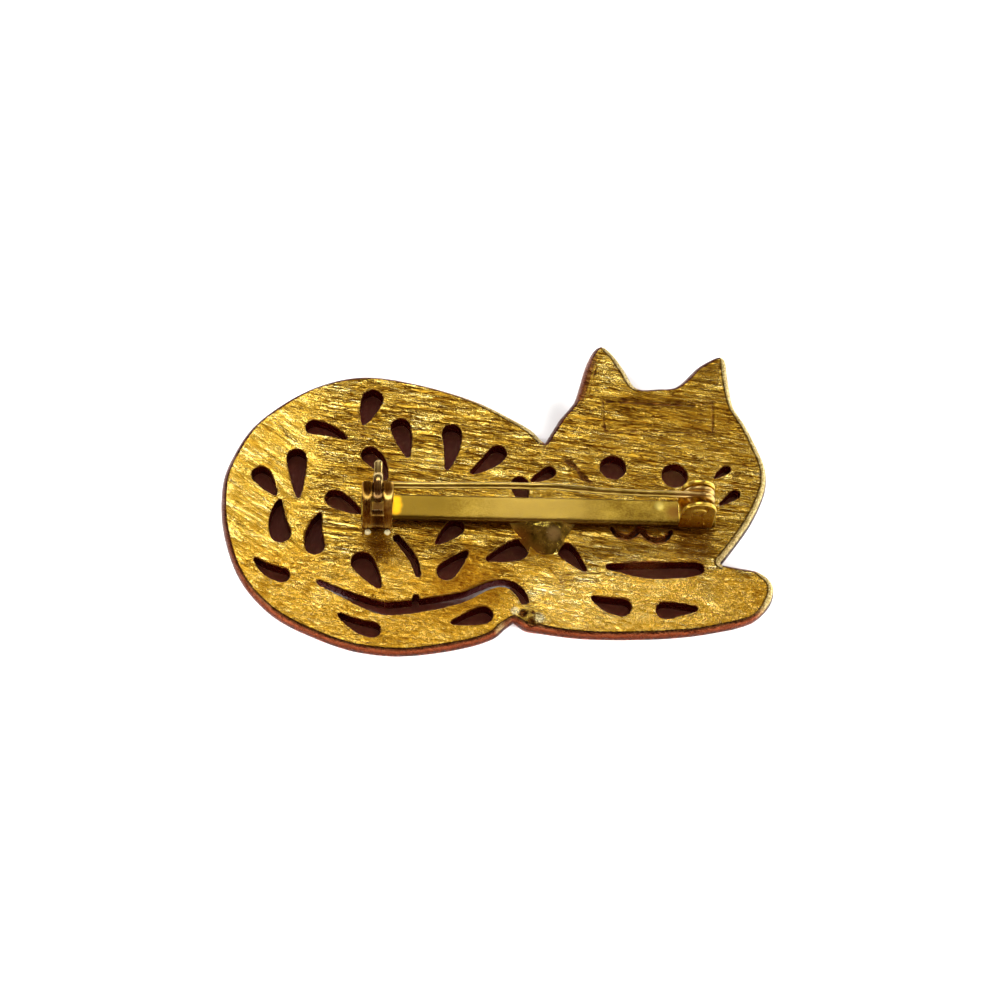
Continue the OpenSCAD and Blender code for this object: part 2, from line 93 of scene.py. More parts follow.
# The catch: its cheeks and their base, the stop between them, and the barrel with its lever
CHEEK_R = 1.6
CHEEK_WALL = 0.45
CHEEK_W = 1.0
CHEEK_DOME = 0.3
HOOK_END = 1.0
CATCH_FOOT_OUT = 0.3
FOOT_SUNK = 0.12
STOP_TOP = 2.1
STOP_T = 0.5
ROLL_R = 0.36
CURL_R = 0.34
LEVER_GAP = 1.0
TURN_GAP = 0.07
SIDE_PLAY = 0.03
TROUGH_END = 0.6
TROUGH_WALL = 0.33
COLLAR_DOME = 0.22
COLLAR_SUNK = 0.12
LEVER_REACH = 2.75
LEVER_DEG = 12

# The mound of solder
MOUND_OUT = 3.75
MOUND_RIGHT = 0.4

joints = {j["name"]: Vector(j["pos_m"]) / MM for j in frame["joints"]}
HINGE = joints["stem_swing"]
CATCH = joints["catch_turn"]
BAR_Y = HINGE.y
BAR_RIGHT = HINGE.x + HINGE_FROM_END
BAR_LEFT = BAR_RIGHT - BAR_L
STEM_Y = BAR_Y - STEM_ASIDE * 2 * WIRE_R


# Camera, light and floor

def placed(name, data):
    """A new object in the scene."""
    thing = bpy.data.objects.new(name, data)
    bpy.context.scene.collection.objects.link(thing)
    return thing


def make_camera():
    at = Vector(CAMERA_AT)
    away = (at - Vector(LOOKS_AT)).normalized()
    right = (Vector((1, 0, 0)) - away * away.x).normalized()
    up = away.cross(right)
    c, s = math.cos(math.radians(ROLL_DEG)), math.sin(math.radians(ROLL_DEG))
    right, up = c * right + s * up, c * up - s * right
    data = bpy.data.cameras.new("camera")
    data.sensor_width = SENSOR_W
    data.lens = FOCAL_PX / IMAGE_PX * SENSOR_W
    data.shift_x = (IMAGE_PX / 2 - LOOKS_AT_PX[0]) / IMAGE_PX
    data.shift_y = (LOOKS_AT_PX[1] - IMAGE_PX / 2) / IMAGE_PX
    data.clip_start = 0.01
    data.clip_end = 10
    camera = placed("camera", data)
    turned = Matrix((right, up, away)).transposed()
    camera.matrix_world = Matrix.Translation(at * MM) @ turned.to_4x4()
    bpy.context.scene.camera = camera


# Soft boxes and cards that only metal mirrors: name, place, size, watts and colour
SOFT_BOXES = [
    ("soft_box_behind", (-25, 205, 285), (190, 75), 0.44, (1, 1, 1)),
    ("window_right", (270, 110, 200), (80, 100), 0.22, (1, 0.97, 0.86)),
    ("card_above", (0, -60, 330), (560, 330), 0.075, (1, 0.75, 0.45)),
    ("card_near", (0, -330, 120), (700, 260), 0.07, (1, 0.5, 0.24)),
    ("card_left", (-330, 0, 160), (300, 260), 0.06, (1, 0.75, 0.5)),
    ("card_right", (330, 0, 160), (300, 260), 0.06, (1, 0.75, 0.5)),
]

# Low lights round the brooch that brighten the floor, and a faint reddish light from all round
FLOOR_LIGHT_TURNS = (38, 142, 218, 322)
FLOOR_LIGHT_AWAY = 430
FLOOR_LIGHT_UP = 100
FLOOR_LIGHT_SIZE = (260, 50)
FLOOR_LIGHT_WATTS = 8.0
ROOM_LIGHT = (0.05, 0.016, 0.011)
FLOOR_HALF_M = 3.0


def area_light(name, at, size, watts, colour, in_metal):
    """A soft light that shows in metal alone, or that lights matt surfaces alone."""
    data = bpy.data.lights.new(name, "AREA")
    data.shape = "RECTANGLE"
    data.size = size[0] * MM
    data.size_y = size[1] * MM
    data.energy = watts
    data.color = colour
    light = placed(name, data)
    light.location = Vector(at) * MM
    light.rotation_euler = Vector(at).to_track_quat("Z", "Y").to_euler()
    light.visible_diffuse = not in_metal
    light.visible_glossy = in_metal


def make_lights():
    for name, at, size, watts, colour in SOFT_BOXES:
        area_light(name, at, size, watts, colour, True)
    for turn in FLOOR_LIGHT_TURNS:
        a = math.radians(turn)
        at = (FLOOR_LIGHT_AWAY * math.cos(a), FLOOR_LIGHT_AWAY * math.sin(a), FLOOR_LIGHT_UP)
        area_light("floor_%d" % turn, at, FLOOR_LIGHT_SIZE, FLOOR_LIGHT_WATTS, (1, 1, 1), False)
    world = bpy.data.worlds.new("studio")
    bpy.context.scene.world = world
    world.use_nodes = True
    background = world.node_tree.nodes["Background"]
    background.inputs["Color"].default_value = (*ROOM_LIGHT, 1)
    background.inputs["Strength"].default_value = 1.0


def make_floor():
    mesh = bpy.data.meshes.new("floor")
    half = FLOOR_HALF_M
    corners = [(x, y, 0) for x, y in rectangle(-half, half, -half, half)]
    mesh.from_pydata(corners, [], [(0, 1, 2, 3)])
    g = Graph("floor")
    matt = {"Base Color": (0.86, 0.86, 0.85), "Roughness": 0.9, "Specular IOR Level": 0.1}
    g.fill(g.shader, matt)
    mesh.materials.append(g.material)
    placed("floor", mesh)


# Small helpers for materials

class Graph:
    """The node tree of one material, built a node at a time."""

    def __init__(self, name):
        self.material = bpy.data.materials.new(name)
        self.material.use_nodes = True
        self.tree = self.material.node_tree
        self.shader = self.tree.nodes["Principled BSDF"]
        self.place = self.add("ShaderNodeTexCoord").outputs["Object"]

    def fill(self, node, inputs):
        """Links or sets a node's inputs by their names or numbers."""
        for key, value in inputs.items():
            socket = node.inputs[key]
            if isinstance(value, bpy.types.NodeSocket):
                self.tree.links.new(value, socket)
            else:
                socket.default_value = (*value, 1) if socket.type == "RGBA" else value

    def add(self, kind, inputs=None, **settings):
        node = self.tree.nodes.new(kind)
        for name, value in settings.items():
            setattr(node, name, value)
        self.fill(node, inputs or {})
        return node

    def mapped(self, turn=0.0, scale=(1, 1, 1)):
        """Places in millimetres, turned about Z by an angle in degrees and then scaled."""
        node = self.add("ShaderNodeMapping", {"Vector": self.place, "Scale": (1 / MM,) * 3})
        self.fill(node, {"Rotation": (0, 0, math.radians(-turn))})
        inputs = {"Vector": node.outputs["Vector"], "Scale": scale}
        return self.add("ShaderNodeMapping", inputs).outputs["Vector"]

    def noise(self, vector, scale=1.0, detail=3.0, rough=0.5, warp=0.0):
        node = self.add("ShaderNodeTexNoise", {"Vector": vector, "Scale": scale})
        self.fill(node, {"Detail": detail, "Roughness": rough, "Distortion": warp})
        return node.outputs["Fac"]

    def calc(self, operation, a, b=0.0):
        return self.add("ShaderNodeMath", {0: a, 1: b}, operation=operation).outputs[0]

    def times(self, a, b):
        return self.calc("MULTIPLY", a, b)

    def ranged(self, value, low, high, to_low=0.0, to_high=1.0):
        """to_low below low and to_high above high, with a smooth step between them."""
        node = self.add("ShaderNodeMapRange", interpolation_type="SMOOTHSTEP")
        self.fill(node, {"Value": value, "From Min": low, "From Max": high})
        self.fill(node, {"To Min": to_low, "To Max": to_high})
        return node.outputs["Result"]

    def ramp(self, value, stops):
        node = self.add("ShaderNodeValToRGB", {"Fac": value})
        points = node.color_ramp.elements
        while len(points) < len(stops):
            points.new(1)
        for point, (place, colour) in zip(points, stops):
            point.position = place
            point.color = (*colour, 1)
        return node.outputs["Color"]

    def mix(self, share, a, b, blend="MIX"):
        node = self.add("ShaderNodeMix", data_type="RGBA", blend_type=blend)
        self.fill(node, {"Factor": share, 6: a, 7: b})
        return node.outputs[2]

    def blend_values(self, share, a, b):
        inputs = {0: share, 2: a, 3: b}
        return self.add("ShaderNodeMix", inputs, data_type="FLOAT").outputs[0]

    def axis(self, name):
        return self.add("ShaderNodeSeparateXYZ", {0: self.mapped()}).outputs[name]

    def bump(self, height, depth):
        """depth is in millimetres for a height of one."""
        inputs = {"Height": height, "Distance": depth * MM, "Strength": 1.0}
        self.fill(self.shader, {"Normal": self.add("ShaderNodeBump", inputs).outputs["Normal"]})

    def stored(self, name):
        """A number kept at each vertex of the mesh."""
        return self.add("ShaderNodeAttribute", attribute_name=name).outputs["Fac"]

    def total(self, *shares):
        """The sum of numbers, each times its weight."""
        value = 0.0
        for number, weight in shares:
            value = self.calc("ADD", value, self.times(number, weight))
        return value

    def spot(self, x, y, radius, softness):
        """1 inside a soft round patch and 0 outside it."""
        def vectors(operation, a, b):
            return self.add("ShaderNodeVectorMath", {0: a, 1: b}, operation=operation)

        flat = vectors("MULTIPLY", self.mapped(), (1, 1, 0)).outputs[0]
        away = vectors("DISTANCE", flat, (x, y, 0)).outputs["Value"]
        return self.ranged(away, radius * (1 - softness), radius * (1 + softness), 1, 0)


# Pale and bright golds of painted highlights on the filed face and the junction; the pale one also
# edges the holes
PALE_GOLD = (0.95, 0.72, 0.18)
BRIGHT_GOLD = (1.0, 0.92, 0.50)

# Golds of the filed face, partly random tone and partly painted light: from painted shade in its
# creases to painted highlights on its bright strokes
FILED_RAMP = [
    (0.38, (0.20, 0.075, 0.004)),
    (0.455, (0.42, 0.20, 0.012)),
    (0.52, (0.68, 0.40, 0.035)),
    (0.585, PALE_GOLD),
    (0.64, BRIGHT_GOLD),
]

# Painted reflection of a red surface on the rim, with painted shade at the outline: from the
# outline inwards a dark line, red, pale red, brown and olive
RIM_REFLECTION_RAMP = [
    (0.00, (0.03, 0.008, 0.003)),
    (0.12, (0.16, 0.032, 0.011)),
    (0.24, (0.36, 0.085, 0.03)),
    (0.38, (0.28, 0.11, 0.04)),
    (0.52, (0.08, 0.05, 0.008)),
]

# Patches of the filed back that are lighter or darker, two of the darker ones painted shade: x, y,
# radius, and how far they go
TONES = [
    (-23.5, -2.5, 4.5, -0.015),
    (-12.5, -7.0, 4.0, 0.01),
    # painted shade on the back beside the catch
    (-11.5, 1.3, 2.6, -0.05),
    # painted shade beside the solder mound, below the bar
    (3.0, -5.6, 3.0, -0.04),
    (6.0, -11.0, 4.5, 0.05),
    (16.0, -12.0, 7.0, 0.03),
    (-3.0, -10.5, 3.5, -0.07),
    (16.0, 9.2, 4.0, -0.012),
    (23.6, 9.2, 1.6, -0.05),
    (-17.0, -11.0, 3.5, 0.015),
]

# Where the paw meets the belly, an olive solder tone over the lump and two painted highlights on
# it: x, y, radius, share and colour
JUNCTION_TONE_AND_HIGHLIGHTS = [
    (2.7, -13.8, 1.3, 0.6, (0.34, 0.26, 0.05)),
    (3.9, -13.9, 0.5, 0.8, BRIGHT_GOLD),
    (1.6, -13.1, 0.4, 0.6, BRIGHT_GOLD),
]

# Soft patches at the muzzle and beside the left ear, where painted shade and painted light go: x,
# y, radius and softness
MUZZLE = (14.2, -5.3, 2.9, 0.15)
BESIDE_EAR = (9.0, 13.4, 3.0, 0.3)

WARM_TINT = (1.0, 0.84, 0.50)
SUNK_BROWN = (0.20, 0.08, 0.014)
RIM_SHADY = (0.10, 0.022, 0.007)
RIM_SPECK = (0.03, 0.012, 0.005)
# Painted highlight on the rim's bevel where it faces the light: its share, its gold, its dark
# speckles and its dark edges
BEVEL_HIGHLIGHT_SHARE = 0.881924
BEVEL_HIGHLIGHT_GOLD = (1.0, 0.84, 0.38)
BEVEL_SPECK = (0.46, 0.31, 0.05)
BEVEL_OUTLINE = (0.03, 0.012, 0.004)
BEVEL_INNER = (0.15, 0.08, 0.008)
# Painted shade on the rim's shady side beside the left ear
EAR_SHADE_BROWN = (0.17, 0.045, 0.012)
# Painted shade on the muzzle's lips, a painted dark red reflection in the holes' walls, and
# painted light on the muzzle's walls
LIP_SHADE_BROWN = (0.30, 0.09, 0.022)
WALL_RED_REFLECTION = (0.34, 0.06, 0.035)
WALL_PAINTED_LIGHT = (0.85, 0.55, 0.25)


def filed_strokes(g, at_left, low_down):
    """Strokes of the file, their fine lines, and the thin creases between them, which the colour
    darkens with painted shade.
    """
    body = g.noise(g.mapped(BODY_STROKES, (0.26, 2.5, 0.4)), 1.0, 4, 0.66, 1.0)
    left = g.noise(g.mapped(LEFT_STROKES, (0.30, 2.4, 0.4)), 1.0, 4, 0.66, 1.0)
    streak = g.blend_values(at_left, body, left)
    coarse = g.noise(g.mapped(-14, (0.9, 1.9, 1)), 1.3, 4, 0.72, 0.8)
    streak = g.blend_values(g.times(low_down, 0.8), streak, coarse)
    fine = g.noise(g.mapped(-7, (1.2, 7.0, 1.0)), 1.0, 3, 0.7, 0.6)
    crease = 1.0
    for turn, along, across in ((-7, 0.13, 1.7), (-10, 0.22, 2.6)):
        lines = g.noise(g.mapped(turn, (along, across, 1)), 1.0, 2, 0.5, 0.7)
        lines = g.calc("ABSOLUTE", g.total((lines, 1), (1.0, -0.5)))
        crease = g.times(crease, g.ranged(lines, 0.0, 0.026))
    crease = g.blend_values(g.calc("MAXIMUM", at_left, low_down), crease, 1.0)
    return streak, fine, crease


def filed_colour(g, mark, low_down):
    """The filed face: golds by the mark, from painted shade to painted highlights, warmer low
    down, the junction's solder tone and painted highlights, and brown where it is sunk.
    """
    colour = g.ramp(mark, FILED_RAMP)
    colour = g.mix(g.times(low_down, 0.5), colour, WARM_TINT, "MULTIPLY")
    for x, y, radius, share, tint in JUNCTION_TONE_AND_HIGHLIGHTS:
        colour = g.mix(g.times(g.spot(x, y, radius, 0.5), share), colour, tint)
    return g.mix(g.ranged(g.stored("sunk"), 0.12, 0.8), colour, SUNK_BROWN)


def rim_reflection_and_highlight(g, edge, lit, grain):
    """The rim's painted reflection, from the outline inwards: red to brown, with painted shade far
    left and a painted highlight on the bevel far right.
    """
    rim = g.ramp(edge, RIM_REFLECTION_RAMP)
    rim = g.mix(g.ranged(g.stored("shady"), 0.2, 0.8), rim, RIM_SHADY)
    speckle = g.ranged(grain, 0.42, 0.62)
    # the painted highlight on the bevel, with dark speckles and dark edges
    bevel = g.mix(speckle, BEVEL_HIGHLIGHT_GOLD, BEVEL_SPECK)
    bevel = g.mix(g.ranged(edge, 0.08, 0.15), BEVEL_OUTLINE, bevel)
    bevel = g.mix(g.ranged(edge, 0.39, 0.47), bevel, BEVEL_INNER)
    rim = g.mix(lit, rim, bevel)
    return g.mix(g.times(speckle, 0.25), rim, RIM_SPECK)


def hole_colour(g, colour):
    """The holes: walls painted dark red, a painted reflection of a red surface, pale lips all
    round, and at the muzzle painted shade on the lips and painted light on the walls.
    """
    hole = g.stored("hole")
    at_muzzle = g.times(g.spot(*MUZZLE), g.ranged(hole, 0.08, 0.3, 0.9, 0))
    lip = g.mix(g.ranged(hole, 0.02, 0.16, 0.5, 0), colour, PALE_GOLD)
    colour = g.mix(at_muzzle, lip, LIP_SHADE_BROWN)
    wall = g.mix(g.spot(*MUZZLE), WALL_RED_REFLECTION, WALL_PAINTED_LIGHT)
    return g.mix(g.ranged(hole, -0.06, 0.02, 1, 0), colour, wall)


def casting_material():
    g = Graph("filed_gold")
    x, y = g.axis("X"), g.axis("Y")
    blotch = g.noise(g.mapped(), 0.5, 3, 0.6)
    wide = g.noise(g.mapped(), 0.25, 1)
    at_left = g.ranged(g.total((x, 1), (blotch, 7)), -17.5, -12.5, 1, 0)
    low_down = g.ranged(g.total((y, 1), (blotch, 9), (wide, 8)), -2.5, 3.0, 1, 0)
    streak, fine, crease = filed_strokes(g, at_left, low_down)
    grain = g.noise(g.mapped(), 6.5, 2, 0.8)
    mark = g.total(
        (streak, 0.38), (fine, 0.21), (grain, 0.22), (blotch, 0.12), (crease, 0.12),
        (low_down, -0.01), (g.stored("panel"), -0.022), (1.0, -0.055),
        *((g.spot(*patch, 0.7), lift) for *patch, lift in TONES),
    )
    flat_gold = filed_colour(g, mark, low_down)

    # how far in from the outline, wavering a little, and wider where the light strikes the rim
    lit = g.times(g.ranged(g.stored("lit"), 0.4, 0.75), BEVEL_HIGHLIGHT_SHARE)
    edge = g.total((g.stored("edge"), 1), (g.noise(g.mapped(), 2.2, 3), 0.12), (1.0, -0.06))
    edge = g.times(edge, g.total((1.0, 1), (lit, -0.36)))
    rim = rim_reflection_and_highlight(g, edge, lit, grain)
    colour = g.mix(g.ranged(edge, 0.50, 0.60, 1, 0), flat_gold, rim)
    # painted shade on the rim's shady side beside the left ear
    beside_ear_shade = g.times(g.spot(*BESIDE_EAR), g.ranged(edge, 0.82, 0.98, 1, 0))
    beside_ear_shade = g.times(beside_ear_shade, g.ranged(g.stored("shady"), 0.3, 0.6, 0, 0.85))
    colour = g.mix(beside_ear_shade, colour, EAR_SHADE_BROWN)
    colour = hole_colour(g, colour)

    rough = g.ranged(mark, 0.40, 0.62, 0.36, 0.22)
    on_bevel = g.times(lit, g.ranged(edge, 0.40, 0.48, 1, 0))
    on_bevel = g.times(on_bevel, g.ranged(edge, 0.10, 0.18))
    metallic, rough = g.total((1.0, 1), (on_bevel, -0.08)), g.blend_values(on_bevel, rough, 0.5)
    g.fill(g.shader, {"Base Color": colour, "Metallic": metallic, "Roughness": rough})
    g.bump(g.total((streak, 0.6), (fine, 0.15), (grain, 0.08), (crease, 0.16)), 0.22)
    return g.material


def smooth_gold(name, colours, roughness, grain_depth, stretch=(3, 3, 3), spots=(), metal=1.0):
    """A plated, worn metal: its colour drifts between two tones, with fine pits.

    spots are tinted patches: x, y, radius and colour."""
    g = Graph(name)
    drift = g.noise(g.mapped(), 0.6, 3, 0.6)
    grain = g.noise(g.mapped(scale=stretch), 1.0, 3, 0.7)
    both = g.total((drift, 0.5), (grain, 0.5))
    colour = g.ramp(both, [(0.40, colours[0]), (0.60, colours[1])])
    for x, y, radius, tint in spots:
        colour = g.mix(g.spot(x, y, radius, 0.6), colour, tint)
    rough = g.ranged(grain, 0.3, 0.7, *roughness)
    g.fill(g.shader, {"Base Color": colour, "Metallic": metal, "Roughness": rough})
    g.bump(grain, grain_depth)
    return g.material


# Helpers for meshes

def new_object(name, shape, material, body, node, numbers=None):
    """A smooth piece that rides on a body, stands for a CAD node and takes a material."""
    points, faces = shape
    mesh = bpy.data.meshes.new(name)
    mesh.from_pydata([tuple(c * MM for c in p) for p in points], [], [tuple(f) for f in faces])
    for key, values in (numbers or {}).items():
        mesh.attributes.new(key, "FLOAT", "POINT").data.foreach_set("value", values)
    mesh.validate()
    edit = bmesh.new()
    edit.from_mesh(mesh)
    bmesh.ops.remove_doubles(edit, verts=edit.verts, dist=1e-7)
    bmesh.ops.recalc_face_normals(edit, faces=edit.faces)
    edit.to_mesh(mesh)
    edit.free()
    mesh.materials.append(material)
    mesh.shade_smooth()
    piece = placed(name, mesh)
    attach(piece, body)
    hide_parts(node)
    return piece


def soldered(name, shape, material, numbers=None):
    """A piece of the one soldered solid."""
    return new_object(name, shape, material, "brooch", "cat_body", numbers)


def bevelled(piece, width, segments=3, angle=35):
    modifier = piece.modifiers.new("eased_edges", "BEVEL")
    modifier.width = width * MM
    modifier.segments = segments
    modifier.limit_method = "ANGLE"
    modifier.angle_limit = math.radians(angle)
    modifier.harden_normals = True


def ring_faces(rings, sides, ends=True):
    """Faces between closed rings of points, and over the first ring and the last."""
    faces = []
    for i in range(rings - 1):
        for k in range(sides):
            a, b = i * sides + k, i * sides + (k + 1) % sides
            faces.append((a, b, b + sides, a + sides))
    if ends:
        faces.append(tuple(range(sides - 1, -1, -1)))
        faces.append(tuple(range((rings - 1) * sides, rings * sides)))
    return faces


def prism(outline, low, high, axis):
    """Points and faces of an outline drawn across an axis and pushed along it."""
    points = []
    for c in (low, high):
        points += [{"X": (c, a, b), "Y": (a, c, b), "Z": (a, b, c)}[axis] for a, b in outline]
    return points, ring_faces(2, len(outline))


def lofted(slices):
    """Points and faces through outlines, each with its place along X."""
    points = [(x, y, z) for x, outline in slices for y, z in outline]
    return points, ring_faces(len(slices), len(slices[0][1]))


def joined(*parts):
    points, faces = [], []
    for p, f in parts:
        base = len(points)
        points += list(p)
        faces += [tuple(i + base for i in face) for face in f]
    return points, faces


def rectangle(low_a, high_a, low_b, high_b):
    return [(low_a, low_b), (high_a, low_b), (high_a, high_b), (low_a, high_b)]


def arc(middle, radius, start, end, steps):
    out = []
    for i in range(steps + 1):
        a = math.radians(start + (end - start) * i / steps)
        out.append((middle[0] + radius * math.cos(a), middle[1] + radius * math.sin(a)))
    return out


def swept(path, radii, sides=20):
    """A round tube through points, with a radius at each and closed ends."""
    path = [Vector(p) for p in path]
    last = len(path) - 1
    points = []
    side = (path[1] - path[0]).cross(Vector((0, 1, 0)))
    for i, (at, radius) in enumerate(zip(path, radii)):
        ahead = (path[min(last, i + 1)] - path[max(0, i - 1)]).normalized()
        side = (side - ahead * side.dot(ahead)).normalized()
        other = ahead.cross(side)
        for k in range(sides):
            a = 2 * math.pi * k / sides
            points.append(at + radius * (math.cos(a) * side + math.sin(a) * other))
    return points, ring_faces(len(path), sides)


# The casting, from the outlines of its CAD node

def cad_triangles(node):
    mesh = frame["nodes"][node].data
    spots = np.empty(len(mesh.vertices) * 3)
    mesh.vertices.foreach_get("co", spots)
    mesh.calc_loop_triangles()
    corners = np.empty(len(mesh.loop_triangles) * 3, int)
    mesh.loop_triangles.foreach_get("vertices", corners)
    spots, index = np.unique((spots.reshape(-1, 3) / MM).round(4), axis=0, return_inverse=True)
    return spots, index.ravel()[corners].reshape(-1, 3)


def chained(edges):
    """Loops of points from edges given as pairs, each going round in the edges' own direction."""
    following = dict(edges)
    loops = []
    while following:
        start, at = following.popitem()
        loop = [start]
        while at != start and at in following:
            loop.append(at)
            at = following.pop(at)
        if len(loop) > 2:
            loops.append(loop)
    return loops


def cad_loops():
    """The cat's widest outline, and the outlines of its holes on the front."""
    spots, triangles = cad_triangles("cat_body")
    on_front = np.all(np.abs(spots[triangles][:, :, 2]) < SLIGHT, axis=1)
    used = set()
    for t in triangles[on_front]:
        for i in range(3):
            used.add((t[i], t[(i + 1) % 3]))
    rims = chained([e for e in used if (e[1], e[0]) not in used])
    loops = sorted((spots[loop][:, :2] for loop in rims), key=len, reverse=True)
    outer = max(loops, key=lambda p: np.ptp(p[:, 0]))
    holes = [p for p in loops if p is not outer]
    at_widest = np.abs(spots[:, 2] - WIDEST_UP * CAST_T) < SLIGHT
    ring = set()
    for t in triangles:
        for i in range(3):
            a, b = t[i], t[(i + 1) % 3]
            if at_widest[a] and at_widest[b] and (b, a) not in ring:
                ring.add((a, b))
    neighbours = {}
    for a, b in ring:
        neighbours.setdefault(a, []).append(b)
        neighbours.setdefault(b, []).append(a)
    start = next(iter(neighbours))
    loop, at, came = [start], neighbours[start][0], start
    while at != start:
        loop.append(at)
        onward = [n for n in neighbours[at] if n != came]
        came, at = at, onward[0]
    return spots[loop][:, :2], holes


def turned_left(loop):
    """The loop run anticlockwise."""
    x, y = loop[:, 0], loop[:, 1]
    twice_area = np.sum(x * np.roll(y, -1) - y * np.roll(x, -1))
    return loop if twice_area > 0 else loop[::-1]


def smooth_loop(loop, step, corner=34):
    """A closed curve through points. A turn sharper than the corner angle stays a crease."""
    count = len(loop)
    ahead = np.roll(loop, -1, axis=0) - loop
    length = np.linalg.norm(ahead, axis=1)
    direction = ahead / length[:, None]
    arriving = np.roll(direction, 1, axis=0)
    turn = np.degrees(np.arccos(np.clip(np.sum(direction * arriving, axis=1), -1, 1)))
    shared = (ahead + np.roll(ahead, 1, axis=0)) / (length + np.roll(length, 1))[:, None]
    out = []
    for i in range(count):
        j = (i + 1) % count
        a, b = loop[i], loop[j]
        leave = direction[i] if turn[i] > corner else shared[i]
        arrive = direction[i] if turn[j] > corner else shared[j]
        parts = max(1, round(length[i] / step))
        for s in range(parts):
            t = s / parts
            out.append(
                (2 * t**3 - 3 * t**2 + 1) * a
                + (t**3 - 2 * t**2 + t) * leave * length[i]
                + (3 * t**2 - 2 * t**3) * b
                + (t**3 - t**2) * arrive * length[i]
            )
    return np.array(out)


def respaced(line, step, fewest, closed=False):
    """Points spread evenly along a line, or round a closed one."""
    if closed:
        line = np.vstack([line, line[:1]])
    run = np.concatenate([[0], np.cumsum(np.linalg.norm(np.diff(line, axis=0), axis=1))])
    count = max(fewest, round(run[-1] / step))
    at = np.linspace(0, run[-1], count, endpoint=not closed)
    return np.stack([np.interp(at, run, line[:, i]) for i in range(2)], 1)


def rounded_loop(loop, step, times=2):
    """Corners cut off a closed loop, and points spread evenly along it."""
    for _ in range(times):
        following = np.roll(loop, -1, axis=0)
        loop = np.stack([0.75 * loop + 0.25 * following, 0.25 * loop + 0.75 * following], 1)
        loop = loop.reshape(-1, 2)
    return respaced(loop, step, 8, closed=True)


def outward_normals(loop):
    """Unit normals of an anticlockwise loop, pointing out of it."""
    ahead = np.roll(loop, -1, axis=0) - np.roll(loop, 1, axis=0)
    normal = np.stack([ahead[:, 1], -ahead[:, 0]], 1)
    return normal / np.linalg.norm(normal, axis=1)[:, None]


def inside(points, loop):
    """Which points lie inside a closed loop."""
    result = np.zeros(len(points), bool)
    for (ax, ay), (bx, by) in zip(loop, np.roll(loop, -1, axis=0)):
        if ay == by:
            continue
        crosses = (points[:, 1] > min(ay, by)) & (points[:, 1] <= max(ay, by))
        at = ax + (points[:, 1] - ay) * (bx - ax) / (by - ay)
        result ^= crosses & (points[:, 0] < at)
    return result


def boxed(points, loop, reach):
    """Which points lie in the box round a loop, widened by a reach."""
    return ((points > loop.min(0) - reach) & (points < loop.max(0) + reach)).all(1)


def distance_to(points, loop, closed=True):
    """How far each point is from a loop, or from an open line."""
    a = loop if closed else loop[:-1]
    b = np.roll(loop, -1, axis=0) if closed else loop[1:]
    along = b - a
    square = np.maximum(np.sum(along**2, axis=1), 1e-12)
    best = np.empty(len(points))
    for i in range(0, len(points), 2000):
        p = points[i : i + 2000, None, :]
        t = np.clip(np.sum((p - a) * along, axis=2) / square, 0, 1)
        gap = p - (a + t[:, :, None] * along)
        best[i : i + 2000] = np.sqrt(np.min(np.sum(gap**2, axis=2), axis=1))
    return best


def distance_to_holes(points, holes):
    """How far each point is from the nearest hole, where one is near."""
    away = np.full(len(points), 9.0)
    for hole in holes:
        near = boxed(points, hole, 0.5)
        away[near] = np.minimum(away[near], distance_to(points[near], hole))
    return away


def cleared(points, holes, gap):
    """The points outside every hole and further than a gap from its edge."""
    for hole in holes:
        near = boxed(points, hole, 0.4)
        beside = points[near][~inside(points[near], hole)]
        beside = beside[distance_to(beside, hole) > gap]
        points = np.vstack([points[~near], beside])
    return points


def hex_grid(outline, step, margin):
    """A grid of points inside an outline and further than a margin from it."""
    low, high = outline.min(0), outline.max(0)
    rows = []
    for k, y in enumerate(np.arange(low[1], high[1], step * math.sqrt(3) / 2)):
        x = np.arange(low[0] + (k % 2) * step / 2, high[0], step)
        rows.append(np.stack([x, np.full_like(x, y)], 1))
    grid = np.vstack(rows)
    grid = grid[inside(grid, outline)]
    return grid[distance_to(grid, outline) > margin]


def triangulated(outline, holes, loose):
    """Triangles between the outline and the holes, through loose points as well.

    Gives the points, the triangles, and each loop's points as indices."""
    loops = [outline, *holes]
    points = np.vstack([*loops, loose])
    rings, edges, base = [], [], 0
    for loop in loops:
        ring = list(range(base, base + len(loop)))
        rings.append(ring)
        edges += zip(ring, ring[1:] + ring[:1])
        base += len(loop)
    made = geometry.delaunay_2d_cdt([Vector(p) for p in points], edges, [], 0, 1e-7, True)
    spots = np.array([tuple(v) for v in made[0]])
    faces = np.array(made[2])
    middle = spots[faces].mean(axis=1)
    keep = inside(middle, outline)
    for hole in holes:
        box = (middle >= hole.min(0) - 1e-6).all(1) & (middle <= hole.max(0) + 1e-6).all(1)
        near = np.flatnonzero(box & keep)
        keep[near[inside(middle[near], hole)]] = False
    now = {old: new for new, olds in enumerate(made[3]) for old in olds}
    return spots, faces[keep], [[now[i] for i in ring] for ring in rings]


